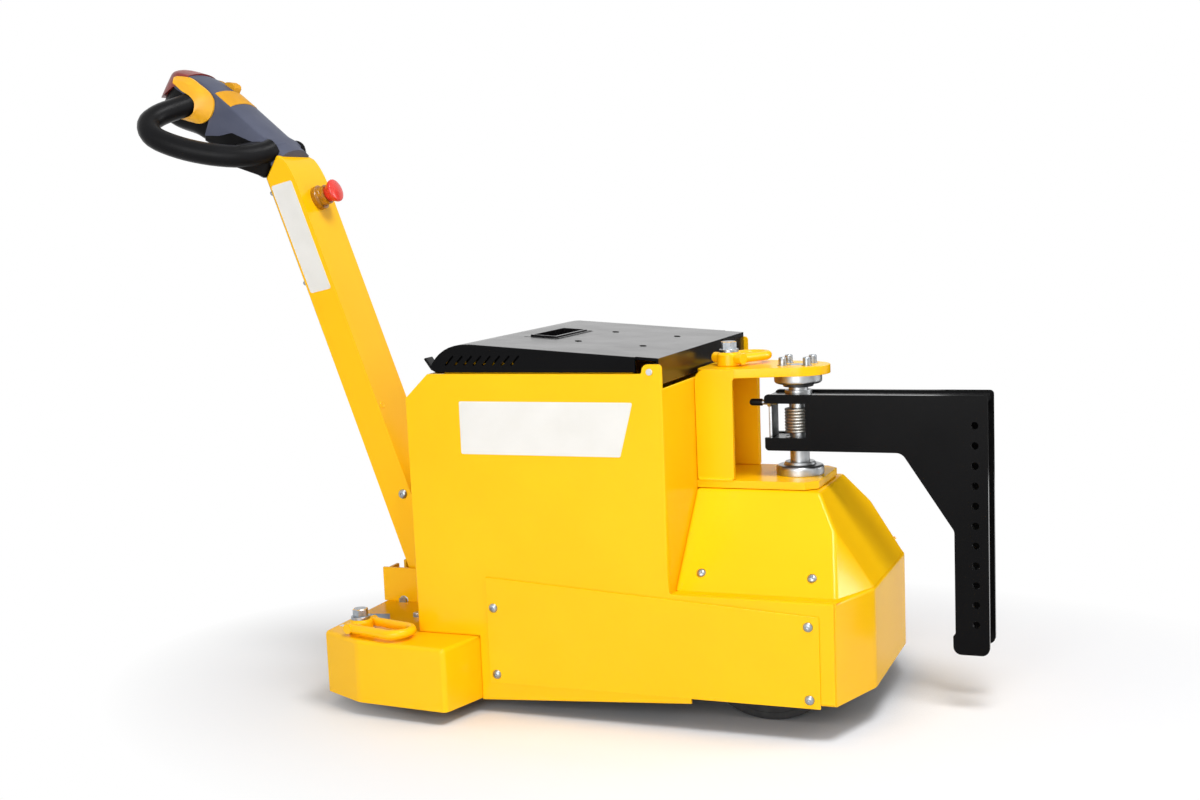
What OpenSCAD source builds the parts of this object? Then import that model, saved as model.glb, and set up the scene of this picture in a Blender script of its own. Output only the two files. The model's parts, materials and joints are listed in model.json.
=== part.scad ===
// Electric tugger: a pedestrian-steered tow unit. A boxed battery body stands on two driven wheels
// and two castors, with a tiller behind, a hinged lid on top and a sprung hitch arm in front.
// X points forward to the hitch arm, Y to the left and Z up from the floor. Sizes in millimetres.

/* [Body] */
// Length of the tall body from rear wall to front wall
body_l = 420; // [390:5:450]
// Width over the two side plates
body_w = 455; // [440:5:480]
// Height of the side plates' top edge
body_top = 529; // [520:1:540]
// Height where the rear wall starts to slope forward
rear_top = 491; // [480:1:500]
// Length of that slope along the machine
rear_slope = 40; // [30:1:50]
// Place of the front wall, ahead of the machine's middle
front_x = 282; // [277:1:287]
// Thickness of the folded steel sheet
sheet = 5; // [4:0.5:6]

/* [Front skirt and cover] */
// Length of the low front part, front wall to the corner of the skirt
skirt_l = 245; // [235:1:255]
// Length of the skirt's chamfered nose
nose_l = 37; // [30:1:44]
// Width of the skirt's flat front
nose_w = 240; // [220:5:260]
// Height of the skirt's top fold
skirt_top = 203; // [198:1:208]
// Height of the skirt's lower edge
skirt_bot = 52; // [48:1:56]
// Width of the ledge between skirt and sloping cover
ledge_w = 28; // [22:1:32]
// Length of the cover's flat top
cover_top_l = 194; // [186:1:200]
// Half width of the cover's flat top
cover_top_hw = 82; // [80:1:86]
// Share of the cover's height that its front edges keep above the corner triangles
cover_apex = 0.36; // [0.3:0.02:0.42]

/* [Service panel] */
// Length of the bolted service panel
panel_l = 522; // [500:1:530]
// Thickness of the service panel
panel_t = 3; // [2:0.5:4]
// Height of the panel's rear edge above its foot
panel_h_rear = 167; // [160:1:172]
// Height of the panel's front edge above its foot
panel_h_front = 135; // [130:1:140]
// Height of the panel's foot above the floor
panel_foot = 48; // [46:1:52]
// Place of the panel's rear edge
panel_x = -16; // [-20:1:-10]

/* [Rear bumper] */
// Place of the bumper's rear edge
bumper_rear_x = -293; // [-300:1:-285]
// Half width of the rear edge
bumper_rear_hw = 255; // [250:1:262]
// Place of the rear corner of the bumper's side
bumper_mid_x = -213; // [-220:1:-205]
// Half width at that rear corner
bumper_mid_hw = 295; // [290:1:300]
// Place of the front corner of the bumper's side
bumper_wide_x = -54; // [-60:1:-48]
// Half width at the front corner, the widest place
bumper_wide_hw = 308; // [302:1:314]
// Place where the bumper meets the body's side
bumper_front_x = -32; // [-36:1:-28]
// Height of the bumper's top
bumper_top = 120; // [118:1:123]
// Height of the bumper's lower edge
bumper_bot = 21; // [18:1:26]

/* [Tower and hitch] */
// Place of the vertical hitch pin
pin_x = 426; // [422:1:430]
// Diameter of the hitch pin
pin_d = 30; // [28:1:32]
// Half width of the tower over its cheeks
tower_hw = 76; // [74:1:78]
// Depth of the tower's cheeks along the machine
tower_l = 60; // [54:1:64]
// Thickness of the tower's cheeks and back
tower_t = 8; // [6:1:10]
// Height of the lower hitch plate's top face
tower_bot = 348; // [345:1:351]
// Height of the upper hitch plate's underside
tower_top = 505; // [502:1:508]
// Thickness of the upper hitch plate
top_plate_t = 14; // [12:1:16]
// Thickness of the lower hitch plate
bot_plate_t = 12; // [10:1:14]
// Radius of the upper plate's nose about the pin
nose_r = 50; // [46:1:54]
// Diameter of the flange bearings
bearing_d = 74; // [70:1:78]
// Height of the flange bearings
bearing_h = 15; // [12:1:18]

/* [Hitch arm] */
// Distance from the pin to the arm's front edge
arm_l = 291; // [288:1:302]
// Distance from the pin to the arm's rear edge
arm_rear = 45; // [42:1:48]
// Height of the arm's top edge
arm_top = 476; // [474:1:478]
// Height of the horizontal beam
arm_h = 87; // [82:1:92]
// Height of the arm's foot above the floor
arm_foot = 85; // [75:1:95]
// Width of the hanging leg
arm_leg_w = 50; // [46:1:54]
// Length of the sloping elbow along the arm
elbow_l = 76; // [70:1:82]
// Height of the sloping elbow
elbow_h = 116; // [108:1:124]
// Thickness of the arm's side plates
arm_t = 8; // [6:1:10]
// Width over the two side plates
arm_w = 76; // [72:1:80]
// Number of coupling holes in the leg
hole_n = 11; // [9:1:11]
// Pitch of the coupling holes
hole_pitch = 30; // [28:1:31]
// Diameter of the coupling holes
hole_d = 11; // [9:1:13]
// Distance from the arm's front edge to the holes
hole_inset = 19; // [17:1:22]
// Drop from the arm's top edge to the first hole
hole_drop = 44; // [42:1:48]
// Running clearance of pins in bores, on the radius
fit = 0.05; // [0.02:0.01:0.1]
// Outside diameter of the torsion spring
spring_d = 40; // [39:1:42]
// Number of coils of the torsion spring
spring_turns = 8; // [7:1:9]

/* [Lid] */
// Thickness of the lid's sheet
lid_t = 4; // [3:0.5:5]
// Height of the lid's top at its front edge
lid_front_top = 551; // [549:1:554]
// Height of the lid's top where its rear nose starts
lid_rear_top = 574; // [571:1:577]
// Length of the lid's curved rear nose
lid_nose_l = 66; // [60:1:70]
// Diameter of the lid's hinge pins
lid_pin_d = 10; // [8:1:12]
// Length of the recessed pull across the lid
pull_w = 150; // [140:2:160]
// Length of the recessed pull along the lid
pull_l = 64; // [58:1:70]
// Spacing of the lid's fixing holes along the lid
lid_hole_dx = 108; // [100:1:116]
// Spacing of the lid's fixing holes across the lid
lid_hole_dy = 165; // [150:1:180]

/* [Tiller] */
// Place of the tiller's pivot pin
tiller_x = -213; // [-217:1:-209]
// Height of the tiller's pivot pin
tiller_z = 157; // [155:1:159]
// Lean of the parked tiller from vertical, in degrees
tiller_lean = 19.4; // [18:0.5:20]
// Length of the tiller from pivot to head
tiller_l = 735; // [720:1:745]
// Depth of the tiller's box section
tiller_d = 54; // [51:1:57]
// Width of the tiller's box section
tiller_w = 100; // [94:1:104]
// Wall of the tiller's box section
tiller_wall = 4; // [3:0.5:5]
// Diameter of the pivot pin
tiller_pin_d = 20; // [18:1:22]
// Height of the tiller's crown above the head's root
tiller_crown = 31; // [30:0.5:32]
// Depth of the tiller's rounded front shoulder
shoulder_l = 20; // [18:1:22]
// Height of that shoulder
shoulder_h = 66; // [60:1:70]
// Drop of the emergency stop below the head's root
estop_drop = 55; // [48:1:60]

/* [Head] */
// Backward tilt of the head from the tiller, in degrees
head_tilt = 39; // [37:0.5:41]
// Width of the head's cover
head_w = 88; // [84:1:92]
// Diameter of the hand loops
grip_d = 38; // [34:1:40]
// Reach of the hand loops out from the head
grip_reach = 102; // [96:1:108]
// Place of the loops' upper root along the head
grip_end = 212; // [208:1:214]
// Place of the loops' lower root along the head
grip_foot = 39; // [36:1:42]
// Droop of the hand loops, in degrees
grip_droop = 33; // [30:1:35]
// Diameter of the thumb paddles
paddle_d = 88; // [87:1:90]
// Place of the loops' roots above the head's axis
grip_root_x = 18; // [17:1:19]
// Place of the loops' roots from the middle
grip_root_y = 48; // [46:1:50]

/* [Lifting eyes] */
// Place of the front eye ahead of the front wall
eye_front_x = 40; // [36:1:44]
// Place of the front eye from the middle, to the right
eye_front_y = 20; // [16:1:24]
// Place of the rear eyes ahead of the bumper's rear edge
eye_rear_x = 64; // [60:1:68]
// Distance of the rear eyes from the middle
eye_rear_y = 248; // [240:1:250]
// Length of the shackles' straight legs
shackle_l = 50; // [46:1:54]
// Length of the rear shackles' straight sides
shackle_rear_l = 76; // [70:1:80]
// Diameter of the shackles' rod
shackle_d = 14; // [13:1:15]

/* [Battery] */
// Width of the battery across the machine
battery_w = 380; // [340:5:390]
// Height of the battery
battery_h = 230; // [200:5:240]

/* [Wheels] */
// Diameter of the driven wheels
wheel_d = 230; // [226:1:234]
// Width of the driven wheels
wheel_w = 55; // [50:1:60]
// Place of the driven axle
axle_x = 408; // [406:1:410]
// Distance from the middle to the middle of a driven wheel
wheel_y = 128; // [126:1:130]
// Diameter of the castor wheels
castor_d = 80; // [76:1:84]
// Width of the castor wheels
castor_w = 32; // [28:1:34]
// Place of the castors' swivel axes
castor_x = -150; // [-155:1:-145]
// Distance of the castors' swivel axes from the middle
castor_y = 195; // [190:1:200]
// Trail of the castor wheels behind their swivel axes
castor_trail = 32; // [28:1:36]

/* [Hidden] */
$fn = 64;
hw = body_w / 2;
rear_x = front_x - body_l;
corner_x = front_x + skirt_l;
nose_x = corner_x + nose_l;
cover_z = tower_bot - bot_plate_t - 1;
floor_t = 6;
floor_z = panel_foot + 8;
lid_gap = 2;
ear_l = 30;
ear_top = body_top + 14;
lid_pin_x = front_x - 18;
lid_pin_z = body_top + 3;
arm_front_x = pin_x + arm_l;
arm_hw = arm_w / 2;
yellow = "#f5c211";
black = "#1c1c1e";
slate = "#5a6170";
steel = "#b9bcc0";
red = "#d8352a";

// Corner of two inset edges: the meeting point of lines a-b and b-c, each moved inward by d
function unit(v) = v / norm(v);
function left_of(v) = [-v[1], v[0]];
function inset_corner(a, b, c, d) =
    let (u = unit(b - a), w = unit(c - b), n = left_of(u), m = left_of(w))
    b + d * (n + m) / (1 + n * m);
// A convex outline, listed anticlockwise, moved inward by d
function inset(p, d) = [for (i = [0:len(p) - 1])
    inset_corner(p[(i + len(p) - 1) % len(p)], p[i], p[(i + 1) % len(p)], d)];

// Points of an arc that rounds corner b between a and c with radius r
function round_corner(a, b, c, r, n = 6) =
    let (u = unit(a - b), w = unit(c - b), half = acos(u * w) / 2, m = b + unit(u + w) * r / sin(half),
        p = b + u * r / tan(half), q = b + w * r / tan(half), turn = cross(p - m, q - m) > 0 ? 1 : -1)
    [for (i = [0:n]) let (t = turn * (180 - 2 * half) * i / n, v = p - m)
        m + [v[0] * cos(t) - v[1] * sin(t), v[0] * sin(t) + v[1] * cos(t)]];
function flat(c) = [c[0], c[1]];
// An outline from corners given as place, place and rounding radius
function rounded(c) = [for (i = [0:len(c) - 1]) each c[i][2] == 0 ? [flat(c[i])] :
    round_corner(flat(c[(i + len(c) - 1) % len(c)]), flat(c[i]), flat(c[(i + 1) % len(c)]), c[i][2])];
// A smooth curve through points p, with n steps between each two
function through(p, n) = let (last = len(p) - 1)
    concat([for (i = [0:last - 1], k = [0:n - 1]) let (t = k / n, a = p[max(i - 1, 0)], b = p[i], c = p[i + 1],
        d = p[min(i + 2, last)])
        0.5 * (2 * b + t * (c - a) + t * t * (2 * a - 5 * b + 4 * c - d) + t * t * t * (3 * b - a - 3 * c + d))],
        [p[last]]);

// A side profile drawn in X and Z, as thick as w across the machine and centred on y
module across(w, y = 0) {
    translate([0, y + w / 2, 0])
        rotate([90, 0, 0])
            linear_extrude(w)
                children();
}

// A round bar along Y through x and z
module bar_y(d, l, x, z, y = 0) {
    translate([x, y + l / 2, z])
        rotate([90, 0, 0])
            cylinder(d = d, h = l);
}

module both_sides() {
    children();
    mirror([0, 1, 0]) children();
}

// A round rod swept along path points p; side is a direction that no part of the path follows
module rod(p, d, side, n = 16) {
    last = len(p) - 1;
    function tangent(i) = unit(p[min(i + 1, last)] - p[max(i - 1, 0)]);
    function ring(i) = let (t = tangent(i), a = unit(cross(t, side)), b = cross(a, t))
        [for (k = [0:n - 1]) p[i] + d / 2 * (cos(360 * k / n) * a + sin(360 * k / n) * b)];
    points = [for (i = [0:last]) each ring(i)];
    walls = [for (i = [0:last - 1], k = [0:n - 1])
        [i * n + k, i * n + (k + 1) % n, (i + 1) * n + (k + 1) % n, (i + 1) * n + k]];
    start = [for (k = [0:n - 1]) n - 1 - k];
    end = [for (k = [0:n - 1]) last * n + k];
    polyhedron(points, concat([start], walls, [end]));
}

module side_profile() {
    strip_x = front_x + 29;
    polygon(rounded([[rear_x, bumper_top, 0], [rear_x, rear_top, 6], [rear_x + rear_slope, body_top, 6],
        [front_x - ear_l, body_top, 4], [front_x - ear_l, ear_top, 9], [front_x, ear_top, 6],
        [front_x, skirt_top, 4], [corner_x, skirt_top, 0], [corner_x, skirt_bot, 0],
        [strip_x, skirt_bot, 0], [strip_x, skirt_bot - 13, 0], [bumper_front_x, bumper_bot - 3, 0],
        [bumper_front_x, bumper_top, 0]]));
}

module side_plate(y) {
    color(yellow)
        difference() {
            across(sheet, y) side_profile();
            bar_y(lid_pin_d, 2 * sheet, lid_pin_x, lid_pin_z, y);
        }
}
module side_plate_left() { side_plate(hw - sheet / 2); }
module side_plate_right() { side_plate(-hw + sheet / 2); }

module rear_wall() {
    color(yellow)
        across(body_w - 2 * sheet)
            polygon([[rear_x, bumper_top], [rear_x + sheet, bumper_top], [rear_x + sheet, rear_top - 3],
                [rear_x + rear_slope + 4, body_top - 3], [rear_x + rear_slope + 4, body_top],
                [rear_x + rear_slope, body_top], [rear_x, rear_top]]);
}

module front_wall() {
    color(yellow)
        translate([front_x - sheet, -hw + sheet, floor_z + floor_t])
            cube([sheet, body_w - 2 * sheet, body_top - 22 - floor_z - floor_t]);
}

// Floor pan of the body with a tongue that runs between the driven wheels to the front
module base_plate() {
    tongue_hw = wheel_y - wheel_w / 2 - 12;
    color(yellow)
        translate([0, 0, floor_z]) {
            translate([bumper_front_x, -hw + sheet, 0])
                cube([front_x - bumper_front_x, body_w - 2 * sheet, floor_t]);
            translate([front_x - 1, -tongue_hw, 0])
                cube([nose_x - sheet - front_x + 1, 2 * tongue_hw, floor_t]);
        }
}

bumper_plan = [[bumper_rear_x, -bumper_rear_hw], [bumper_mid_x, -bumper_mid_hw],
    [bumper_wide_x, -bumper_wide_hw], [bumper_front_x, -hw], [bumper_front_x, hw],
    [bumper_wide_x, bumper_wide_hw], [bumper_mid_x, bumper_mid_hw], [bumper_rear_x, bumper_rear_hw]];

module rear_bumper() {
    color(yellow)
        difference() {
            translate([0, 0, bumper_bot])
                linear_extrude(bumper_top - bumper_bot)
                    polygon(bumper_plan);
            translate([0, 0, bumper_bot - 1])
                linear_extrude(bumper_top - bumper_bot - sheet + 1)
                    polygon(inset(bumper_plan, sheet));
            translate([bumper_front_x - 2 * sheet, -hw + 2 * sheet, bumper_bot - 1])
                cube([3 * sheet, body_w - 4 * sheet, bumper_top - bumper_bot - sheet + 1]);
        }
}

skirt_plan = [[front_x, -hw], [corner_x, -hw], [nose_x, -nose_w / 2], [nose_x, nose_w / 2],
    [corner_x, hw], [front_x, hw]];
cover_plan = [[front_x, -hw + ledge_w], [corner_x - 2, -hw + ledge_w], [nose_x - 2, -nose_w / 2 + 3],
    [nose_x - 2, nose_w / 2 - 3], [corner_x - 2, hw - ledge_w], [front_x, hw - ledge_w]];
cover_roof = [[front_x, -cover_top_hw], [front_x + cover_top_l, -cover_top_hw],
    [front_x + cover_top_l, cover_top_hw], [front_x, cover_top_hw]];

// Chamfered front wall with the ledge that the cover stands on
module front_skirt() {
    color(yellow) {
        difference() {
            translate([0, 0, skirt_bot])
                linear_extrude(skirt_top - skirt_bot)
                    polygon(skirt_plan);
            translate([0, 0, skirt_bot - 1])
                linear_extrude(skirt_top - skirt_bot - sheet + 1)
                    polygon(inset(skirt_plan, sheet));
            translate([0, 0, skirt_bot - 1])
                linear_extrude(skirt_top)
                    polygon(inset(cover_plan, 12));
            translate([front_x - 1, -hw - 1, skirt_bot - 1])
                cube([sheet + 2, body_w + 2, skirt_top - skirt_bot - sheet + 1]);
            for (y = [-hw - 1, hw - sheet])
                translate([front_x - 1, y, skirt_bot - 1])
                    cube([skirt_l + 1, sheet + 1, skirt_top]);
            translate([front_x - 1, -hw + ledge_w + 12, skirt_bot - 1])
                cube([20, body_w - 2 * ledge_w - 24, skirt_top]);
        }
    }
}

// A body from six lower corners at z0 to four roof corners at z1; a triangle cuts each front corner up to an apex
module cover_form(low, roof, z0, z1) {
    apex_x = roof[1][0] + cover_apex * (low[2][0] - roof[1][0]);
    apex_z = z1 + cover_apex * (z0 - z1);
    apex_hw = roof[2][1] + cover_apex * (low[4][1] - roof[2][1]);
    apex = [[apex_x, -apex_hw, apex_z], [apex_x, apex_hw, apex_z]];
    polyhedron(
        concat([for (p = low) [p[0], p[1], z0]], [for (p = roof) [p[0], p[1], z1]], apex),
        [[0, 1, 2, 3, 4, 5], [9, 8, 7, 6], [1, 0, 6, 7, 10], [2, 1, 10], [3, 2, 10, 7, 8, 11], [4, 3, 11],
            [5, 4, 11, 8, 9], [0, 5, 9, 6]]);
}

module front_cover() {
    color(yellow)
        difference() {
            cover_form(cover_plan, cover_roof, skirt_top, cover_z);
            cover_form(inset(cover_plan, 8), inset(cover_roof, 5), skirt_top - 2, cover_z - sheet);
            translate([front_x - 1, -cover_top_hw + 12, skirt_top - 3])
                cube([14, 2 * cover_top_hw - 24, cover_z - skirt_top - sheet - 3]);
        }
}

module service_panels() {
    color(yellow)
        both_sides()
            across(panel_t, hw + panel_t / 2)
                polygon([[panel_x, panel_foot], [panel_x + panel_l, panel_foot],
                    [panel_x + panel_l, panel_foot + panel_h_front], [panel_x, panel_foot + panel_h_rear]]);
}

module tower() {
    color(yellow)
        translate([front_x, 0, tower_bot])
            difference() {
                translate([0, -tower_hw, 0])
                    cube([tower_l, 2 * tower_hw, tower_top - tower_bot]);
                translate([tower_t, -tower_hw + tower_t, -1])
                    cube([tower_l, 2 * (tower_hw - tower_t), tower_top - tower_bot + 2]);
            }
}

module tower_top_plate() {
    color(yellow)
        translate([0, 0, tower_top])
            difference() {
                linear_extrude(top_plate_t) {
                    polygon(rounded([[front_x, -tower_hw, 22], [front_x + tower_l, -tower_hw, 30],
                        [pin_x, -nose_r, 0], [pin_x, nose_r, 0], [front_x + tower_l, tower_hw, 30],
                        [front_x, tower_hw, 22]]));
                    translate([pin_x, 0]) circle(r = nose_r);
                }
                translate([pin_x, 0, -1]) cylinder(d = pin_d + 2 * fit, h = top_plate_t + 2);
            }
}

module tower_bottom_plate() {
    color(yellow)
        translate([0, 0, tower_bot - bot_plate_t])
            difference() {
                linear_extrude(bot_plate_t)
                    polygon([[front_x, -tower_hw - 2], [pin_x + 26, -tower_hw - 2], [pin_x + 44, -tower_hw + 16],
                        [pin_x + 44, tower_hw - 16], [pin_x + 26, tower_hw + 2], [front_x, tower_hw + 2]]);
                translate([pin_x, 0, -1]) cylinder(d = pin_d + 2 * fit, h = bot_plate_t + 2);
            }
}

module hitch_pin() {
    color(steel)
        translate([pin_x, 0, tower_bot - bot_plate_t])
            cylinder(d = pin_d, h = tower_top + top_plate_t - tower_bot + bot_plate_t);
}

// Flange bearing: a thick ring with a rounded rim and a raised collar around the pin
module bearing() {
    bore = pin_d / 2 + fit;
    rim = bearing_d / 2;
    color(steel)
        rotate_extrude()
            polygon(rounded([[bore, 0, 0], [rim, 0, 1], [rim, bearing_h, 5], [bore + 10, bearing_h, 2],
                [bore + 8, bearing_h + 5, 1], [bore, bearing_h + 5, 0]]));
}
module bearing_top() { translate([pin_x, 0, tower_top]) mirror([0, 0, 1]) bearing(); }
module bearing_bottom() { translate([pin_x, 0, tower_bot]) bearing(); }

// Guard around the tiller's foot: two cheeks that carry the pivot pin and a low rear wall
module tiller_bracket() {
    cheek_y = tiller_w / 2 + 6;
    wall_x = bumper_rear_x;
    color(yellow)
        difference() {
            union() {
                both_sides()
                    translate([wall_x, cheek_y, bumper_top])
                        cube([rear_x - wall_x, sheet, 58]);
                translate([wall_x, -cheek_y - 1, bumper_top])
                    cube([rear_x - wall_x, 2 * cheek_y + 2, 4]);
                translate([wall_x, -cheek_y - 1, bumper_top])
                    cube([sheet, 2 * cheek_y + 2, 54]);
            }
            bar_y(tiller_pin_d + 2 * fit, 3 * tiller_w, tiller_x, tiller_z);
            translate([wall_x - 1, -12, bumper_top + 4]) cube([sheet + 2, 24, 60]);
        }
}

module tiller_pin() {
    color(steel) bar_y(tiller_pin_d, tiller_w + 12 + 2 * sheet, tiller_x, tiller_z);
}

// Swivel lifting eye: bolted foot, swivel head and a shackle lying along X
module lifting_eye(reach) {
    shackle_r = 24;
    body_r = 19;
    pin_hl = shackle_r + shackle_d / 2 + 1;
    rotate_extrude() polygon(rounded([[0, 0, 0], [body_r, 0, 2], [body_r, 22, 6], [0, 22, 0]]));
    translate([0, 0, 22]) cylinder(d = 30, h = 4);
    translate([0, 0, 26]) cylinder(d = 24, h = 12, $fn = 6);
    translate([0, 0, 12]) {
        for (s = [-1, 1])
            translate([0, s * shackle_r, 0]) rotate([0, 90, 0]) cylinder(d = shackle_d, h = reach);
        translate([reach, 0, 0])
            rotate([0, 0, -90])
                rotate_extrude(angle = 180) translate([shackle_r, 0]) circle(d = shackle_d, $fn = 32);
        rotate([90, 0, 0]) translate([0, 0, -pin_hl]) cylinder(d = shackle_d + 2, h = 2 * pin_hl);
    }
}

module lifting_eye_front() {
    color(yellow)
        translate([front_x + eye_front_x, -eye_front_y, tower_top + top_plate_t]) rotate([0, 0, 60]) lifting_eye(shackle_l);
}
module lifting_eyes_rear() {
    color(yellow)
        both_sides()
            translate([bumper_rear_x + eye_rear_x, -eye_rear_y, bumper_top]) rotate([0, 0, -14]) lifting_eye(shackle_rear_l);
}

module battery_block() {
    color(black)
        translate([bumper_front_x + 10, -battery_w / 2, floor_z + floor_t])
            cube([front_x - bumper_front_x - 30, battery_w, battery_h]);
}

// Transaxle with its motor and the two stub axles that carry the wheels
module drive_unit() {
    unit_hw = wheel_y - wheel_w / 2 - 10;
    axle_z = wheel_d / 2;
    color(steel) {
        bar_y(96, 2 * unit_hw, axle_x, axle_z);
        bar_y(30, 2 * (wheel_y + wheel_w / 2), axle_x, axle_z);
        translate([axle_x, 0, axle_z]) rotate([0, 90, 0]) cylinder(d = 90, h = 120);
        translate([axle_x - 40, -unit_hw, floor_z + floor_t]) cube([80, 2 * unit_hw, 30]);
    }
}

module lid_pins() {
    color(steel)
        both_sides() bar_y(lid_pin_d, 18, lid_pin_x, lid_pin_z, hw - 7);
}

module castor_plates() {
    color(steel)
        both_sides()
            translate([castor_x, castor_y, 0]) {
                translate([-35, -35, bumper_top - sheet - 5]) cube([70, 70, 5]);
                translate([0, 0, castor_d + 14]) cylinder(d = 16, h = bumper_top - sheet - castor_d - 16);
            }
}

// Top line of the lid at x: a straight slope, then the curved nose behind it
lid_front_x = front_x - 6;
lid_tip_x = rear_x + rear_slope + 5;
lid_bend_x = lid_tip_x + lid_nose_l;
lid_low = body_top + lid_gap;
lid_slope = atan((lid_rear_top - lid_front_top) / (lid_front_x - lid_bend_x));
module lid_profile(d) {
    n = 8;
    tip = [lid_tip_x, body_top + 8];
    shoulder = [lid_bend_x - 0.72 * lid_nose_l, lid_rear_top + 1];
    start = [lid_bend_x, lid_rear_top];
    nose = [for (i = [0:n]) let (t = i / n)
        (1 - t) * (1 - t) * start + 2 * t * (1 - t) * shoulder + t * t * tip];
    polygon(concat([[lid_front_x - d, lid_low - d], [lid_front_x - d, lid_front_top - d]],
        [for (p = nose) p + [d == 0 ? 0 : d * 0.6, -d]],
        [[tip[0] + 10 + d, lid_low - d]]));
}

module lid_panel() {
    pull_x = lid_bend_x + 55;
    hole_x = lid_bend_x + 176;
    hole_z = lid_front_top + (lid_front_x - hole_x) * tan(lid_slope);
    lug_y = hw - sheet - 6;
    flange_hw = hw - sheet - 3;
    flange_drop = 17;
    color(black)
        difference() {
            union() {
                difference() {
                    across(body_w) lid_profile(0);
                    across(body_w - 2 * lid_t) lid_profile(lid_t);
                }
                both_sides()
                    translate([lid_pin_x - 8, lug_y - 5, lid_pin_z - 8])
                        cube([16, 5, 20]);
                translate([lid_front_x - lid_t, -flange_hw, body_top - flange_drop])
                    cube([lid_t, 2 * flange_hw, flange_drop + lid_gap + 8]);
            }
            for (s = [-1, 1]) {
                translate([front_x - ear_l - 10, s > 0 ? flange_hw : -hw - 1, lid_low - 20])
                    cube([ear_l + 16, sheet + 4, 60]);
                for (i = [0:7])
                    translate([lid_bend_x - 32 + 15.7 * i, s * hw, body_top + 20])
                        rotate([0, 45, 0]) cube([3, 20, 20], center = true);
            }
            translate([pull_x - pull_l / 2 + 3, -pull_w / 2 + 3, body_top]) cube([pull_l - 6, pull_w - 6, 60]);
            translate([hole_x, 0, hole_z])
                rotate([0, lid_slope, 0])
                    for (i = [-1, 1], s = [-1, 1])
                        translate([i * lid_hole_dx / 2, s * lid_hole_dy / 2, -15]) cylinder(d = 7, h = 30);
            bar_y(lid_pin_d + 2 * fit, body_w + 2, lid_pin_x, lid_pin_z);
        }
}

module lid_pull() {
    pull_x = lid_bend_x + 55;
    color(black)
        translate([pull_x, 0, lid_rear_top - 30])
            difference() {
                translate([-pull_l / 2 + 3.2, -pull_w / 2 + 3.2, 0]) cube([pull_l - 6.4, pull_w - 6.4, 25]);
                translate([-pull_l / 2 + 6, -pull_w / 2 + 6, 3]) cube([pull_l - 12, pull_w - 12, 30]);
            }
}

module lid_tab() {
    color(black)
        both_sides()
            translate([lid_tip_x + 0.5, hw - 34, lid_low + 4])
                rotate([0, -35, 0]) translate([-4, 0, 0]) cube([4, 24, 22]);
}

// The tiller is drawn upright about its pivot, then leaned back
module on_tiller() {
    translate([tiller_x, 0, tiller_z]) rotate([0, -tiller_lean, 0]) children();
}

// Side of the tiller: a straight bar, round at the pivot, with a rounded front shoulder and a sloping top
module tiller_outline(d) {
    n = 12;
    half = tiller_d / 2;
    crown = tiller_l + tiller_crown - d / cos(head_tilt);
    brow = half - shoulder_l;
    front = [for (i = [0:n]) let (t = 90 * i / n)
        [brow + (shoulder_l - d) * cos(t), crown - shoulder_h + d + (shoulder_h - d) * sin(t)]];
    circle(r = half - d);
    polygon(concat([[-half + d, 0], [half - d, 0]], front,
        [[-half + d, crown - (half - d + brow) * tan(head_tilt)]]));
}

module tiller_arm() {
    color(yellow)
        on_tiller()
            difference() {
                across(tiller_w) tiller_outline(0);
                across(tiller_w - 2 * tiller_wall) tiller_outline(tiller_wall);
                bar_y(tiller_pin_d + 2 * fit, tiller_w + 2, 0, 0);
            }
}

// The head is drawn along its own axis from the tiller's top, then tilted
module on_head() {
    on_tiller() translate([0, 0, tiller_l]) rotate([0, -head_tilt, 0]) children();
}

// Plan of the head seen along its thickness: straight sides and a round end about place w
module head_plan(r, w) {
    translate([-80, 0, 0])
        rotate([90, 0, 90])
            linear_extrude(200) {
                translate([-r, 0]) square([2 * r, w]);
                translate([0, w]) circle(r = r);
            }
}

// Side of the head, as height over its axis and place along it: seam between cover and base, then the top
head_foot = 20.2;
seam = [[14, head_foot], [28, 36], [34, 51], [22, 69], [14.6, 93], [9, 126], [-10, 164], [-14, 200], [-9, 289]];
cover_top = [[26, 291], [44, 283], [54, 266], [63, 242], [66, 200], [61, 150], [51, 80], [42, head_foot]];
base_low = [[-12, 288], [-25, 283], [-36, 262], [-38, 235], [-31, 200], [-30, 178], [-32, 130], [-31, 77],
    [-22, head_foot]];
module head_cover() {
    color(slate)
        difference() {
            on_head()
                intersection() {
                    across(head_w) polygon(concat(seam, cover_top));
                    head_plan(head_w / 2, 246);
                }
            grip_sockets();
        }
}

module head_base() {
    color(black)
        difference() {
            on_head()
                intersection() {
                    across(head_w - 6) polygon(concat([for (p = seam) p - [0.4, 0]], base_low));
                    head_plan(head_w / 2 - 3, 246);
                }
            grip_sockets();
        }
}

// The hand loops lie in planes that droop away from the head on each side
module on_grip(s) {
    on_head() translate([grip_root_x, s * grip_root_y, 0]) rotate([0, 0, s * grip_droop]) children();
}

// Run of a hand loop: share of the way from lower to upper root, and share of its reach
grip_run = [[1, -0.14], [1.057, 0.22], [1.102, 0.57], [1.07, 0.85], [0.898, 1], [0.625, 0.89], [0.358, 0.65],
    [0.136, 0.33], [0.023, 0.02], [0, -0.16]];
grip_path = [for (g = grip_run) [grip_foot + g[0] * (grip_end - grip_foot), g[1] * grip_reach]];

// Round sockets in the head that the ends of the hand loops sit in
socket_gap = 1.9;
module grip_sockets() {
    last = len(grip_path) - 1;
    for (s = [-1, 1], ends = [[0, 1], [last, last - 1]]) {
        a = grip_path[ends[0]];
        b = grip_path[ends[1]];
        on_grip(s)
            translate([0, s * a[1], a[0]])
                rotate([-s * atan2(b[1] - a[1], b[0] - a[0]), 0, 0])
                    translate([0, 0, -socket_gap]) cylinder(d = grip_d + socket_gap, h = 60);
    }
}

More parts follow.
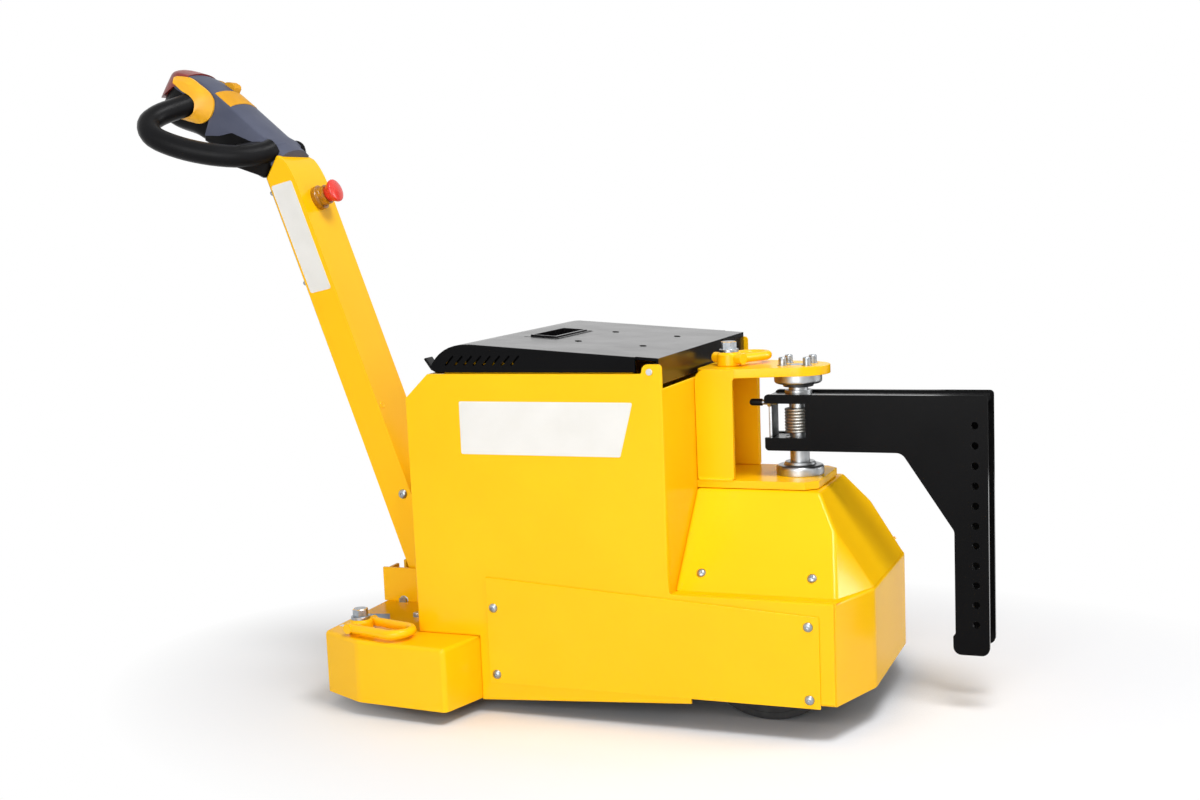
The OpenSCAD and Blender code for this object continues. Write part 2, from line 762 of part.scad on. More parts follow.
// Closed hand loop: out from the head's end, round, and back to the head's foot
module handle_loop(s) {
    color(black)
        on_grip(s) rod([for (p = through(grip_path, 4)) [0, s * p[1], p[0]]], grip_d, [1, 0, 0], 24);
}
module handle_loop_left() { handle_loop(1); }
module handle_loop_right() { handle_loop(-1); }

// Thumb paddles: flat cams around the roots of the hand loops
module butterflies() {
    paddle_x = grip_root_x + 6;
    hole_w = grip_end + 5;
    color(yellow)
        on_head()
            both_sides()
                translate([0, head_w / 2 + 0.3, 0])
                    rotate([-90, 0, 0])
                        difference() {
                            translate([paddle_x, -grip_end, 0]) cylinder(d = paddle_d, h = 14);
                            translate([grip_root_x - 2, -hole_w, -1]) cylinder(d = grip_d + 19, h = 16);
                        }
}

// Safety button: a rounded shell around the head's end
module belly_button() {
    color(red)
        on_head()
            difference() {
                intersection() {
                    across(head_w + 16)
                        polygon([[-8, 260], [-8, 294], [27, 297], [48, 287], [58, 268], [62, 260]]);
                    head_plan(47, 250);
                }
                head_plan(head_w / 2 + 0.4, 246);
            }
}

// Yellow switch plate on the head's top with its toggle
module head_switch() {
    color(yellow)
        on_head() {
            across(76) polygon([[60.05, 143], [62.5, 143], [66.6, 181], [64.15, 181], [61.05, 150]]);
            across(20, 27) polygon([[64.65, 186], [73, 189], [73.5, 204], [65.5, 208], [66.05, 200]]);
        }
}

estop_stem = 22;
module estop_collar() {
    color(steel)
        on_tiller()
            translate([tiller_d / 2, 0, tiller_l - estop_drop])
                rotate([0, 90, 0])
                    rotate_extrude() polygon(rounded([[0, 0, 0], [21, 0, 0], [21, 9, 2], [17, 12, 0],
                        [17, estop_stem, 0], [0, estop_stem, 0]]));
}
module estop_button() {
    color(red)
        on_tiller()
            translate([tiller_d / 2 + estop_stem, 0, tiller_l - estop_drop])
                rotate([0, 90, 0])
                    rotate_extrude() polygon(rounded([[0, 0, 0], [14, 0, 0], [20, 6, 3], [20, 14, 6], [12, 22, 9],
                        [0, 22, 0]]));
}

// Side of the hitch arm: a beam from the pin, a sloping elbow and a hanging leg with coupling holes
module arm_side() {
    beam_bot = arm_top - arm_h;
    leg_x = arm_front_x - arm_leg_w;
    heel = 3.5;
    heel_h = 28;
    difference() {
        polygon(rounded([[pin_x - arm_rear, arm_top, 6], [pin_x - arm_rear, beam_bot, 6],
            [leg_x - elbow_l, beam_bot, 16], [leg_x, beam_bot - elbow_h, 14], [leg_x, arm_foot + heel_h + 4, 3],
            [leg_x - heel, arm_foot + heel_h, 3], [leg_x - heel, arm_foot, 12], [arm_front_x, arm_foot, 12],
            [arm_front_x, arm_top, 6]]));
        translate([pin_x - arm_rear - 1, beam_bot + 20])
            square([arm_rear + 20, arm_h - 34]);
        for (i = [0:hole_n - 1])
            translate([arm_front_x - hole_inset, arm_top - hole_drop - i * hole_pitch]) circle(d = hole_d);
    }
}
module arm_plate_left() { color(black) across(arm_t, arm_hw - arm_t / 2) arm_side(); }
module arm_plate_right() { color(black) across(arm_t, -arm_hw + arm_t / 2) arm_side(); }

module arm_web() {
    inner = arm_w - 2 * arm_t;
    color(black)
        difference() {
            union() {
                translate([pin_x - arm_rear, -inner / 2, arm_top - 14]) cube([arm_l + arm_rear - 4, inner, 10]);
                translate([pin_x - arm_rear, -inner / 2, arm_top - arm_h]) cube([90, inner, 18]);
            }
            translate([pin_x, 0, arm_top - arm_h - 1]) cylinder(d = pin_d + 12, h = arm_h + 2);
        }
}

module arm_bush() {
    color(steel)
        for (z = [arm_top - arm_h - 3, arm_top - 16])
            translate([pin_x, 0, z])
                difference() {
                    cylinder(d = pin_d + 12, h = 20);
                    translate([0, 0, -1]) cylinder(d = pin_d + 2 * fit, h = 22);
                }
}

module torsion_spring() {
    wire = 4.5;
    per_turn = 16;
    r = (spring_d - wire) / 2;
    z0 = arm_top - arm_h + 21 + wire / 2;
    turns = [for (i = [0:spring_turns * per_turn]) let (a = 360 * i / per_turn)
        [pin_x + r * cos(a), r * sin(a), z0 + (wire + 0.4) * i / per_turn]];
    color(steel) rod(turns, wire, [0, 0, 1], 8);
}

module spring_anchor() {
    color(steel)
        translate([pin_x - arm_rear + 2, -20, arm_top - arm_h + 18]) cube([5, 40, arm_h - 32]);
}

// A turned wheel part about the axle at x, y and z, from its half section in radius and width
module turned_y(section, x, y, z) {
    translate([x, y, z]) rotate([90, 0, 0]) rotate_extrude() polygon(section);
}

rim_r = wheel_d / 2 - 30;
module tyre(s) {
    half = wheel_w / 2;
    color(black)
        turned_y(rounded([[rim_r, -half, 0], [wheel_d / 2, -half, 10], [wheel_d / 2, half, 10], [rim_r, half, 0]]),
            axle_x, s * wheel_y, wheel_d / 2);
}
module tyre_left() { tyre(1); }
module tyre_right() { tyre(-1); }

// Dished hub with a rim flange and a bored boss
module hub(s) {
    bore = 15 + fit;
    half = wheel_w / 2 - 3;
    web = half - 14;
    color(steel)
        turned_y(rounded([[bore, -half, 0], [bore + 20, -half, 2], [bore + 26, -web, 4], [rim_r - 20, -web, 4],
            [rim_r - 13, -half, 2], [rim_r, -half, 0], [rim_r, half, 0], [rim_r - 13, half, 2],
            [rim_r - 20, web, 4], [bore + 26, web, 4], [bore + 20, half, 2], [bore, half, 0]]),
            axle_x, s * wheel_y, wheel_d / 2);
}
module hub_left() { hub(1); }
module hub_right() { hub(-1); }

module castor_fork(s) {
    crown_z = castor_d + 7;
    color(steel)
        translate([castor_x, s * castor_y, 0]) {
            difference() {
                translate([0, 0, crown_z]) cylinder(d = 50, h = 16);
                translate([0, 0, crown_z - 1]) cylinder(d = 16 + 2 * fit, h = 18);
            }
            for (y = [-1, 1])
                translate([0, y * (castor_w / 2 + 4) - 2, 0])
                    rotate([90, 0, 0])
                        translate([0, 0, -4])
                            linear_extrude(4)
                                polygon([[-20, crown_z + 4], [20, crown_z + 4], [-castor_trail + 12, castor_d / 2 - 8],
                                    [-castor_trail - 12, castor_d / 2 - 8]]);
            bar_y(10, castor_w + 10, -castor_trail, castor_d / 2);
        }
}
module castor_fork_left() { castor_fork(1); }
module castor_fork_right() { castor_fork(-1); }

module castor_wheel(s) {
    bore = 5 + fit;
    half = castor_w / 2;
    r = castor_d / 2;
    color(black)
        turned_y(rounded([[bore, -half, 0], [14, -half, 1], [17, -half + 5, 2], [r - 13, -half + 5, 2],
            [r - 10, -half, 1], [r, -half, 6], [r, half, 6], [r - 10, half, 1], [r - 13, half - 5, 2],
            [17, half - 5, 2], [14, half, 1], [bore, half, 0]]),
            castor_x - castor_trail, s * castor_y, r);
}
module castor_wheel_left() { castor_wheel(1); }
module castor_wheel_right() { castor_wheel(-1); }

side_plate_left();
side_plate_right();
rear_wall();
front_wall();
base_plate();
rear_bumper();
front_skirt();
front_cover();
service_panels();
tower();
tower_top_plate();
tower_bottom_plate();
hitch_pin();
bearing_top();
bearing_bottom();
tiller_bracket();
tiller_pin();
lifting_eye_front();
lifting_eyes_rear();
battery_block();
drive_unit();
lid_pins();
castor_plates();
lid_panel();
lid_pull();
lid_tab();
tiller_arm();
head_cover();
head_base();
handle_loop_left();
handle_loop_right();
butterflies();
belly_button();
head_switch();
estop_collar();
estop_button();
arm_plate_left();
arm_plate_right();
arm_web();
arm_bush();
torsion_spring();
spring_anchor();
tyre_left();
tyre_right();
hub_left();
hub_right();
castor_fork_left();
castor_fork_right();
castor_wheel_left();
castor_wheel_right();
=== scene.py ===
"""Looks of an electric tugger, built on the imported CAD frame. Metres in Blender, millimetres in the tables."""

import json
import math
from collections import namedtuple

import bmesh
import bpy
from bpy.props import FloatProperty, FloatVectorProperty, IntProperty, PointerProperty, StringProperty
from mathutils import Matrix, Vector


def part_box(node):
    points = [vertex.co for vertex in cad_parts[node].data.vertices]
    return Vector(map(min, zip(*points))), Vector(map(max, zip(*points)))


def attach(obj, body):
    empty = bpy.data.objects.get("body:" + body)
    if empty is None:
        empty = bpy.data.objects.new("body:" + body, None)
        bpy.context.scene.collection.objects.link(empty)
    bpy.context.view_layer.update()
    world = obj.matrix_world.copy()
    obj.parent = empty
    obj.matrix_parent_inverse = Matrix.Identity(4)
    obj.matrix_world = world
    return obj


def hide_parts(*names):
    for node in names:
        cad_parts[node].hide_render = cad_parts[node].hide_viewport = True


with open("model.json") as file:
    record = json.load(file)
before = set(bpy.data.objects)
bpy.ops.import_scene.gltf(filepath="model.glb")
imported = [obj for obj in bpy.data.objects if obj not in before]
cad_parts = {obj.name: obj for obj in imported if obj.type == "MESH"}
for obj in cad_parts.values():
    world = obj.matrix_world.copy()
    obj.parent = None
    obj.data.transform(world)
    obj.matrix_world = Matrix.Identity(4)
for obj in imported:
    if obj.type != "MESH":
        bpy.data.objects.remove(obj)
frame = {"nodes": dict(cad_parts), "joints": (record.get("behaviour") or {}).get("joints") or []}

bl_info = {
    "name": "Electric tugger",
    "version": (1, 0, 0),
    "blender": (4, 2, 0),
    "location": "View3D > Sidebar > Tugger",
    "description": "Surface finishes and fine pieces of an electric tugger",
    "category": "Object",
}

MM = 0.001
SIDES = (-1, 1)
WHITE = (1, 1, 1, 1)

# Edges that bend by more degrees than this shade sharp, unless a piece says otherwise
SHARP = 32.0
# Roughness drifts in patches of this share of the colour's
SMEAR_SHARE = 0.45
# Points nearer than this join and edges shorter than this vanish, and screws sink this far, in millimetres
JOIN_GAP, SHORT_EDGE, SCREW_SINK = 0.001, 0.0005, 0.3

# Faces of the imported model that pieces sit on, in millimetres
TILLER_HALF_DEPTH, TILLER_HALF_WIDTH = 27.0, 50.0
SIDE_FACE, PANEL_FACE = 227.5, 230.5
BUMPER_TOP, HITCH_PLATE_TOP = 120.0, 519.0

# Fold radius of each group of nodes, in millimetres
Fold = namedtuple("Fold", "radius steps nodes")
FOLDS = (
    Fold(2.2, 3, ("rear_wall", "front_wall", "tower", "tiller_bracket")),
    Fold(1.2, 2, ("service_panels", "tower_top_plate", "tower_bottom_plate", "arm_plate_left", "arm_plate_right",
                  "arm_web", "lid_pull", "lid_tab", "base_plate", "castor_plates", "spring_anchor")),
    Fold(1.0, 2, ("lifting_eye_front", "lifting_eyes_rear", "castor_fork_left", "castor_fork_right", "hub_left",
                  "hub_right", "battery_block", "drive_unit")),
    Fold(0.6, 2, ("hitch_pin", "bearing_top", "bearing_bottom", "tiller_pin", "lid_pins", "arm_bush")),
    Fold(0.0, 0, ("handle_loop_left", "handle_loop_right")),
)

# Bent sheets whose outward edges alone are rounded: those that reach above low and behind front, lie beyond wide and
# are longer than length
Bend = namedtuple("Bend", "radius steps low front wide length nodes")
BENDS = (
    Bend(7.0, 5, 22, -33, 0, 0, ("rear_bumper",)),
    Bend(6.0, 5, 54, 900, 0, 0, ("front_skirt",)),
    Bend(5.0, 5, 206, 900, 0, 20, ("front_cover",)),
    Bend(2.5, 4, 0, 900, 227, 30, ("lid_panel",)),
    Bend(3.6, 5, 0, 900, 227, 24, ("side_plate_left", "side_plate_right")),
)
BEND_LIMITS = ("low", "front", "wide", "length")


class TuggerColours(bpy.types.PropertyGroup):
    """Colours of the tugger as sRGB hex text."""

    yellow: StringProperty(name="Yellow paint", description="Powder coat of the body", default="#FFC50A")
    yellow_deep: StringProperty(name="Yellow shade", description="Thinner coat of the body", default="#FFC006")
    black: StringProperty(name="Black paint", description="Powder coat of lid and arm", default="#0B0B0C")
    slate: StringProperty(name="Slate moulding", description="Head cover", default="#4E5263")
    moulding: StringProperty(name="Black moulding", description="Head base and loop bosses", default="#0C0C0D")
    rubber: StringProperty(name="Grip rubber", description="Hand loops and stop rod tip", default="#0D0D0E")
    lever: StringProperty(name="Yellow moulding", description="Paddles and vent plugs", default="#F7B51E")
    red: StringProperty(name="Red moulding", description="Emergency stop and battery boots", default="#E3382B")
    belly: StringProperty(name="Dark red moulding", description="Belly button", default="#8E2217")
    amber: StringProperty(name="Amber collar", description="Emergency stop collar", default="#D9981E")
    label: StringProperty(name="White vinyl", description="Blank decals", default="#E6E4DF")
    sticker: StringProperty(name="Blue vinyl", description="Blank sticker", default="#4F7FB0")


class TuggerSizes(bpy.types.PropertyGroup):
    """Sizes of the pieces that the script adds."""

    lean: FloatProperty(name="Tiller lean", description="Lean of the tiller at rest", default=math.radians(19.4),
                        subtype="ANGLE")
    head_tilt: FloatProperty(name="Head tilt", description="Bend between tiller and head",
                             default=math.radians(39), subtype="ANGLE")
    tiller_length: FloatProperty(name="Tiller length", description="Pivot to head", default=0.735, unit="LENGTH")
    tiller_bend: FloatProperty(name="Tiller bend", description="Bend radius of the tiller's long edges",
                               default=0.009, unit="LENGTH")
    label_thickness: FloatProperty(name="Label thickness", description="Vinyl with its glue", default=0.0005,
                                   unit="LENGTH")
    wire: FloatProperty(name="Spring wire", description="Wire of the torsion spring", default=0.0049,
                        unit="LENGTH")
    coils: IntProperty(name="Spring coils", description="Turns of the torsion spring", default=8)
    weld: FloatProperty(name="Weld bead", description="Radius of a weld bead", default=0.003, unit="LENGTH")


class TuggerStage(bpy.types.PropertyGroup):
    """Camera and light."""

    camera_place: FloatVectorProperty(name="Camera", description="Camera place", subtype="TRANSLATION",
                                      unit="LENGTH", default=(1.0124, -2.2948, 0.7639))
    camera_target: FloatVectorProperty(name="Target", description="Point in mid picture", subtype="TRANSLATION",
                                       unit="LENGTH", default=(0.0947, 0.0, 0.4607))
    camera_roll: FloatProperty(name="Roll", description="Camera roll", default=math.radians(2.34),
                               subtype="ANGLE")
    lens: FloatProperty(name="Lens", description="Focal length in mm on 36 mm", default=45.83)
    key: FloatProperty(name="Key", description="Power of the key softbox in watts", default=65.0)
    top: FloatProperty(name="Top", description="Power of the overhead softbox in watts", default=38.0)
    side: FloatProperty(name="Side", description="Power of the softbox to the front in watts", default=4.0)
    rim: FloatProperty(name="Rim", description="Power of the softbox behind the front in watts", default=15.0)
    fill: FloatProperty(name="Fill", description="Strength of the surrounding light", default=0.25)


def colours():
    return bpy.context.scene.tugger_colours


def sizes():
    return bpy.context.scene.tugger_sizes


# Materials


def linear(text):
    """sRGB hex text as a linear colour."""
    channels = [int(text[i:i + 2], 16) / 255 for i in (1, 3, 5)]
    return [c / 12.92 if c <= 0.04045 else ((c + 0.055) / 1.055) ** 2.4 for c in channels] + [1.0]


def feed(tree, node, inputs):
    """Links or sets the inputs of a node."""
    for name, value in inputs.items():
        if isinstance(value, bpy.types.NodeSocket):
            tree.links.new(value, node.inputs[name])
        else:
            node.inputs[name].default_value = value


def add(tree, kind, inputs=None, **settings):
    """Adds one node, with its settings, and links or sets its inputs."""
    made = tree.nodes.new(kind)
    for name, value in settings.items():
        setattr(made, name, value)
    feed(tree, made, inputs or {})
    return made


def principled(name, values):
    """A Principled material with its constants on the shader's own sockets."""
    made = bpy.data.materials.new(name)
    made.use_nodes = True
    shader = made.node_tree.nodes["Principled BSDF"]
    feed(made.node_tree, shader, values)
    return made, made.node_tree, shader


# A finish: its slot, two near shades as hex text or the name of a colour setting, least and most roughness, width and
# depth of the grain and width of the patches in millimetres, strength of the grain, the shader's constants, and for a
# gloss that changes with the angle its level faced and grazed and where the change starts and ends
Finish = namedtuple("Finish", "name slot first second rough grain depth patch strength values gloss", defaults=((),))

# Gloss powder coat on sheet steel: golden, with orange peel that breaks up its reflections; its gloss falls at a low
# angle, a painted dark reflection on faces seen edge-on
POWDER_YELLOW = Finish("powder_coated_steel_yellow", "yellow_paint", "yellow", "yellow_deep", (0.20, 0.24), 1.6, 0.008,
                       220, 0.4, {"IOR": 1.5}, (0.24, 0.04, 0.4, 0.7))
# Satin powder coat on steel: a fine leathery grain that turns grey at a low angle
POWDER_BLACK = Finish("powder_coated_steel_black", "black_paint", "black", "#0F0F10", (0.2, 0.25), 0.9, 0.006, 160,
                      0.5, {"IOR": 1.5}, (0.05, 0.6, 0.5, 0.8))
# Turned bright steel: soft metal gloss with a fine tool grain
TURNED_STEEL = Finish("turned_bright_steel", "steel", "#B9BBBD", "#A8ABAD", (0.3, 0.4), 0.5, 0.004, 14, 0.6,
                      {"Metallic": 1.0})
# Zinc-plated spring wire: fine grain and a pale satin gloss
SPRING_STEEL = Finish("zinc_plated_spring_steel", "steel", "#C2C0BA", "#B0AEA8", (0.34, 0.44), 0.4, 0.004, 8, 0.6,
                      {"Metallic": 1.0})
# Zinc-plated steel screws: bluish grey with cloudy patches
ZINC_PLATE = Finish("zinc_plated_steel", "steel", "#AEB3B8", "#949AA0", (0.26, 0.42), 0.6, 0.004, 6, 0.6,
                    {"Metallic": 1.0})
# Sand-cast iron with machined faces: dark and pebbled
CAST_IRON = Finish("sand_cast_iron", "cast_metal", "#5C5E60", "#4A4C4E", (0.45, 0.62), 1.6, 0.12, 25, 0.8,
                   {"Metallic": 1.0})
# Moulded polypropylene case: matt with a dull bloom
BATTERY_CASE = Finish("moulded_polypropylene", "black_plastic", "#1E1E20", "#28282B", (0.5, 0.62), 0.8, 0.03, 40, 1.0,
                      {"IOR": 1.49})
# Spark-eroded ABS in the switch's insert: amber and matt, with a grain that thumbs feel
SWITCH_ABS = Finish("moulded_abs_amber_grained", "yellow_plastic", "#E3A322", "#DB9B1D", (0.52, 0.6), 1.2, 0.05, 40,
                    0.8, {"IOR": 1.53, "Specular IOR Level": 0.2})
# Moulded ABS, slate grey, with spark-eroded grain: soft sheen, no hard glints
SLATE_ABS = Finish("moulded_abs_slate", "slate_plastic", "slate", "#565A6B", (0.5, 0.58), 0.9, 0.03, 50, 0.8,
                   {"IOR": 1.54, "Specular IOR Level": 0.18})
# Moulded glass-filled nylon: black, slightly cloudy
BLACK_NYLON = Finish("moulded_nylon_black", "black_plastic", "moulding", "#121213", (0.38, 0.48), 0.7, 0.02, 35, 0.7,
                     {"IOR": 1.53}, (0.1, 0.3, 0.5, 0.8))
# Soft overmoulded rubber: black with a silky highlight
GRIP_RUBBER = Finish("overmoulded_rubber_black", "grip_rubber", "rubber", "#121214", (0.36, 0.44), 0.6, 0.012, 45, 0.7,
                     {"IOR": 1.52}, (0.1, 0.3, 0.5, 0.8))
# Matt black rubber: takes the light in, so a ring of it reads as a dark dot, painted shade for the dark of an empty
# hole
HOLE_SHADE_RUBBER = Finish("matt_rubber_painted_hole_shade", "grip_rubber", "#0A0A0A", "#101010", (0.7, 0.85), 0.7, 0.02, 12, 0.7,
                     {"IOR": 1.5, "Specular IOR Level": 0.03})
# Moulded ABS, yellow: smoother than the paint and a little warmer
YELLOW_ABS = Finish("moulded_abs_yellow", "yellow_plastic", "lever", "#EFA917", (0.28, 0.4), 0.7, 0.01, 30, 0.6,
                    {"IOR": 1.54})
# Moulded ABS, signal red: a polished dome with a small sharp highlight
RED_ABS = Finish("moulded_abs_red", "red_plastic", "red", "#D62F23", (0.2, 0.32), 0.8, 0.006, 20, 0.6, {"IOR": 1.54})
# Moulded ABS, dark red: duller than the stop's
BELLY_ABS = Finish("moulded_abs_dark_red", "red_plastic", "belly", "#7E1C12", (0.3, 0.42), 0.8, 0.01, 20, 0.6,
                   {"IOR": 1.54})
# Moulded polycarbonate, amber: light soaks in at the rim
AMBER_POLYCARBONATE = Finish("moulded_polycarbonate_amber", "amber_collar", "amber", "#B57912", (0.16, 0.28), 0.8,
                             0.006, 12, 0.6, {"IOR": 1.585, "Transmission Weight": 0.45})
# Solid rubber tyre: dull black with paler patches
TYRE_RUBBER = Finish("solid_tyre_rubber", "tyre", "#1D1D1E", "#2B2B2B", (0.6, 0.8), 1.2, 0.08, 30, 1.0, {"IOR": 1.52})
# Cast polyurethane tread: smooth and slightly waxy
POLYURETHANE = Finish("cast_polyurethane", "castor_tread", "#3A3A3C", "#454547", (0.36, 0.5), 0.9, 0.02, 18, 1.0,
                      {"IOR": 1.5})
# Printed vinyl left blank: satin white film
WHITE_VINYL = Finish("blank_vinyl_white", None, "label", "#E0DED8", (0.32, 0.44), 1.5, 0.008, 70, 0.5, {"IOR": 1.5})
# Vinyl left blank: satin blue film
BLUE_VINYL = Finish("blank_vinyl_blue", None, "sticker", "#43719F", (0.3, 0.42), 1.5, 0.008, 25, 0.5, {"IOR": 1.5})
# Near-black felt on a card that only the gloss sees: a painted dark reflection that takes in what falls on it
PAINTED_DARK_REFLECTION = Finish("painted_dark_reflection_card", None, "#060606", "#090909", (0.9, 0.95), 2.0, 0.1, 60, 1.0, {})

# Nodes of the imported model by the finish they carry
FINISH_NODES = (
    (POWDER_YELLOW, (
        "side_plate_left", "side_plate_right", "rear_wall", "front_wall", "rear_bumper", "front_skirt",
        "front_cover", "service_panels", "tower", "tower_top_plate", "tower_bottom_plate", "tiller_bracket",
        "lifting_eye_front", "lifting_eyes_rear", "tiller_arm",
    )),
    (POWDER_BLACK, (
        "base_plate", "castor_plates", "lid_panel", "lid_pull", "lid_tab", "arm_plate_left", "arm_plate_right",
        "arm_web", "castor_fork_left", "castor_fork_right",
    )),
    (TURNED_STEEL, (
        "hitch_pin", "bearing_top", "bearing_bottom", "tiller_pin", "lid_pins", "arm_bush", "torsion_spring",
        "spring_anchor",
    )),
    (CAST_IRON, ("drive_unit", "hub_left", "hub_right")),
    (BATTERY_CASE, ("battery_block",)),
    (SLATE_ABS, ("head_cover",)),
    (BLACK_NYLON, ("head_base",)),
    (GRIP_RUBBER, ("handle_loop_left", "handle_loop_right")),
    (YELLOW_ABS, ("butterflies", "head_switch")),
    (RED_ABS, ("belly_button", "estop_button")),
    (AMBER_POLYCARBONATE, ("estop_collar",)),
    (TYRE_RUBBER, ("tyre_left", "tyre_right")),
    (POLYURETHANE, ("castor_wheel_left", "castor_wheel_right")),
)


def finish_of(row):
    """The material of a finish, made once: patches of two near shades, drifting roughness, a grain of real size."""
    if row.name in bpy.data.materials:
        return bpy.data.materials[row.name]
    made, tree, shader = principled(row.name, row.values)
    place = add(tree, "ShaderNodeTexCoord").outputs["Object"]
    patches, smear, grain = (
        add(tree, "ShaderNodeTexNoise", {"Vector": place, "Scale": 1 / MM / size, "Detail": detail}).outputs["Fac"]
        for size, detail in ((row.patch, 4.0), (row.patch * SMEAR_SHARE, 5.0), (row.grain, 2.0)))
    share = add(tree, "ShaderNodeMapRange", {"Value": patches, "From Min": 0.35, "From Max": 0.65}).outputs["Result"]
    first, second = (linear(getattr(colours(), shade, shade)) for shade in (row.first, row.second))
    colour = add(tree, "ShaderNodeMix", {"Factor": share, 6: first, 7: second}, data_type="RGBA").outputs[2]
    rough = add(tree, "ShaderNodeMapRange", {"Value": smear, "From Min": 0.3, "From Max": 0.7, "To Min": row.rough[0],
                                             "To Max": row.rough[1]}).outputs["Result"]
    bump = add(tree, "ShaderNodeBump", {"Height": grain, "Distance": row.depth * MM, "Strength": row.strength})
    feed(tree, shader, {"Base Color": colour, "Roughness": rough, "Normal": bump.outputs["Normal"]})
    if row.gloss:
        faced, grazed, start, end = row.gloss
        turned = add(tree, "ShaderNodeLayerWeight", {"Blend": 0.5}).outputs["Facing"]
        level = add(tree, "ShaderNodeMapRange", {"Value": turned, "From Min": start, "From Max": end, "To Min": faced,
                                                 "To Max": grazed}).outputs["Result"]
        feed(tree, shader, {"Specular IOR Level": level})
    return made


# Mesh helpers, in millimetres


def across(low, high, steps):
    return [low + (high - low) * i / steps for i in range(steps + 1)]


def curve_through(points, steps):
    """Catmull-Rom points through a list of tuples."""
    rows = [tuple(2 * a - b for a, b in zip(points[0], points[1]))] + list(points)
    rows.append(tuple(2 * a - b for a, b in zip(points[-1], points[-2])))
    out = []
    for i in range(1, len(rows) - 2):
        for k in range(steps):
            t = k / steps
            out.append(tuple(
                0.5 * (2 * b + (c - a) * t + (2 * a - 5 * b + 4 * c - d) * t * t + (3 * b - a - 3 * c + d) * t ** 3)
                for a, b, c, d in zip(rows[i - 1], rows[i], rows[i + 1], rows[i + 2])
            ))
    out.append(tuple(points[-1]))
    return out


def value_at(table, place):
    """Height at a place along a table of (height, place) rows in rising order of place."""
    for (h0, p0), (h1, p1) in zip(table, table[1:]):
        if place <= p1:
            return h0 + (h1 - h0) * max(0.0, (place - p0) / (p1 - p0))
    return table[-1][0]


def arc(x, y, radius, start, end, steps):
    return [(x + radius * math.cos(math.radians(a)), y + radius * math.sin(math.radians(a)))
            for a in across(start, end, steps)]


def facing(place, normal):
    """Frame at a place with its Z along a normal."""
    turn = Vector(normal).to_track_quat("Z", "Y").to_matrix().to_4x4()
    return Matrix.Translation(place) @ turn


def upright(s=1):
    """Frame that stands an outline on edge: its Y up and its Z to the side s."""
    return Matrix(((1, 0, 0, 0), (0, 0, s, 0), (0, 1, 0, 0), (0, 0, 0, 1)))


def rectangle(x0, y0, x1, y1):
    return [(x0, y0), (x1, y0), (x1, y1), (x0, y1)]


def skin(mesh, rings, loop=False):
    """Faces between rings of equal count, with the ends closed by flat faces or joined in a loop."""
    made = [[mesh.verts.new(p) for p in ring] for ring in rings]
    for a, b in zip(made, made[1:] + (made[:1] if loop else [])):
        for i in range(len(a)):
            j = (i + 1) % len(a)
            mesh.faces.new((a[i], a[j], b[j], b[i]))
    if not loop:
        mesh.faces.new(list(reversed(made[0])))
        mesh.faces.new(made[-1])
    return made


def prism(mesh, outline, low, high, place=Matrix(), edge=0.0, steps=3):
    """An outline drawn out from low to high along its frame's Z, with rounded rims."""
    rings = [[place @ Vector((x, y, z)) for x, y in outline] for z in (low, high)]
    made = skin(mesh, rings)
    if edge:
        rims = [mesh.edges.get((ring[i - 1], ring[i])) for ring in made for i in range(len(ring))]
        bmesh.ops.bevel(mesh, geom=rims, offset=edge, offset_type="OFFSET", segments=steps, profile=0.5,
                        affect="EDGES", clamp_overlap=True)


def ring_points(radius, height, flats, count, place):
    """One ring round a frame's Z; flats = 6 makes a hexagon whose radius is half its width across flats."""
    out = []
    for k in range(count):
        angle = 2 * math.pi * k / count
        r = radius
        if flats:
            part = math.pi / flats
            r = radius / math.cos((angle + part) % (2 * part) - part)
        out.append(place @ Vector((r * math.cos(angle), r * math.sin(angle), height)))
    return out


def lathe(mesh, profile, count, place):
    """A turned solid from (radius, height[, flats]) rows."""
    skin(mesh, [ring_points(*(*row, 0)[:3], count, place) for row in profile])


def tube(mesh, path, radius, count):
    """A round bar along a path; radius is a number or a list, one for each point."""
    path = [Vector(p) for p in path]
    last = len(path) - 1
    normal = None
    rings = []
    for i, p in enumerate(path):
        ahead = (path[min(i + 1, last)] - path[max(i - 1, 0)]).normalized()
        if normal is None:
            normal = ahead.orthogonal()
        normal = (normal - ahead * normal.dot(ahead)).normalized()
        side = ahead.cross(normal)
        r = radius[i] if isinstance(radius, list) else radius
        turns = [2 * math.pi * k / count for k in range(count)]
        rings.append([p + normal * r * math.cos(a) + side * r * math.sin(a) for a in turns])
    skin(mesh, rings)


def rounded_outline(points, radius, steps=5):
    """A polygon with its corners rounded."""
    out = []
    for i, p in enumerate(points):
        here, before, after = Vector(p), Vector(points[i - 1]), Vector(points[(i + 1) % len(points)])
        a, b = (before - here).normalized(), (after - here).normalized()
        half = a.angle(b) / 2
        reach = radius / math.tan(half)
        start, end = here + a * reach, here + b * reach
        for t in across(0.0, 1.0, steps):
            mixed = start * (1 - t) ** 2 + here * 2 * t * (1 - t) + end * t * t
            out.append((mixed.x, mixed.y))
    return out


def piece(name, mesh, body, finish, stands_for=(), sharp=SHARP):
    """Turns a mesh in millimetres into a named piece that rides on a body."""
    bmesh.ops.remove_doubles(mesh, verts=mesh.verts, dist=JOIN_GAP)
    bmesh.ops.dissolve_degenerate(mesh, edges=mesh.edges, dist=SHORT_EDGE)
    bmesh.ops.recalc_face_normals(mesh, faces=mesh.faces)
    mesh.transform(Matrix.Scale(MM, 4))
    data = bpy.data.meshes.new(name)
    mesh.to_mesh(data)
    mesh.free()
    data.shade_smooth()
    data.set_sharp_from_angle(angle=math.radians(sharp))
    data.materials.append(finish_of(finish))
    made = bpy.data.objects.new(name, data)
    bpy.context.scene.collection.objects.link(made)
    flat = made.modifiers.new("even_normals", "WEIGHTED_NORMAL")
    flat.keep_sharp = True
    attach(made, body)
    if stands_for:
        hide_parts(*stands_for)


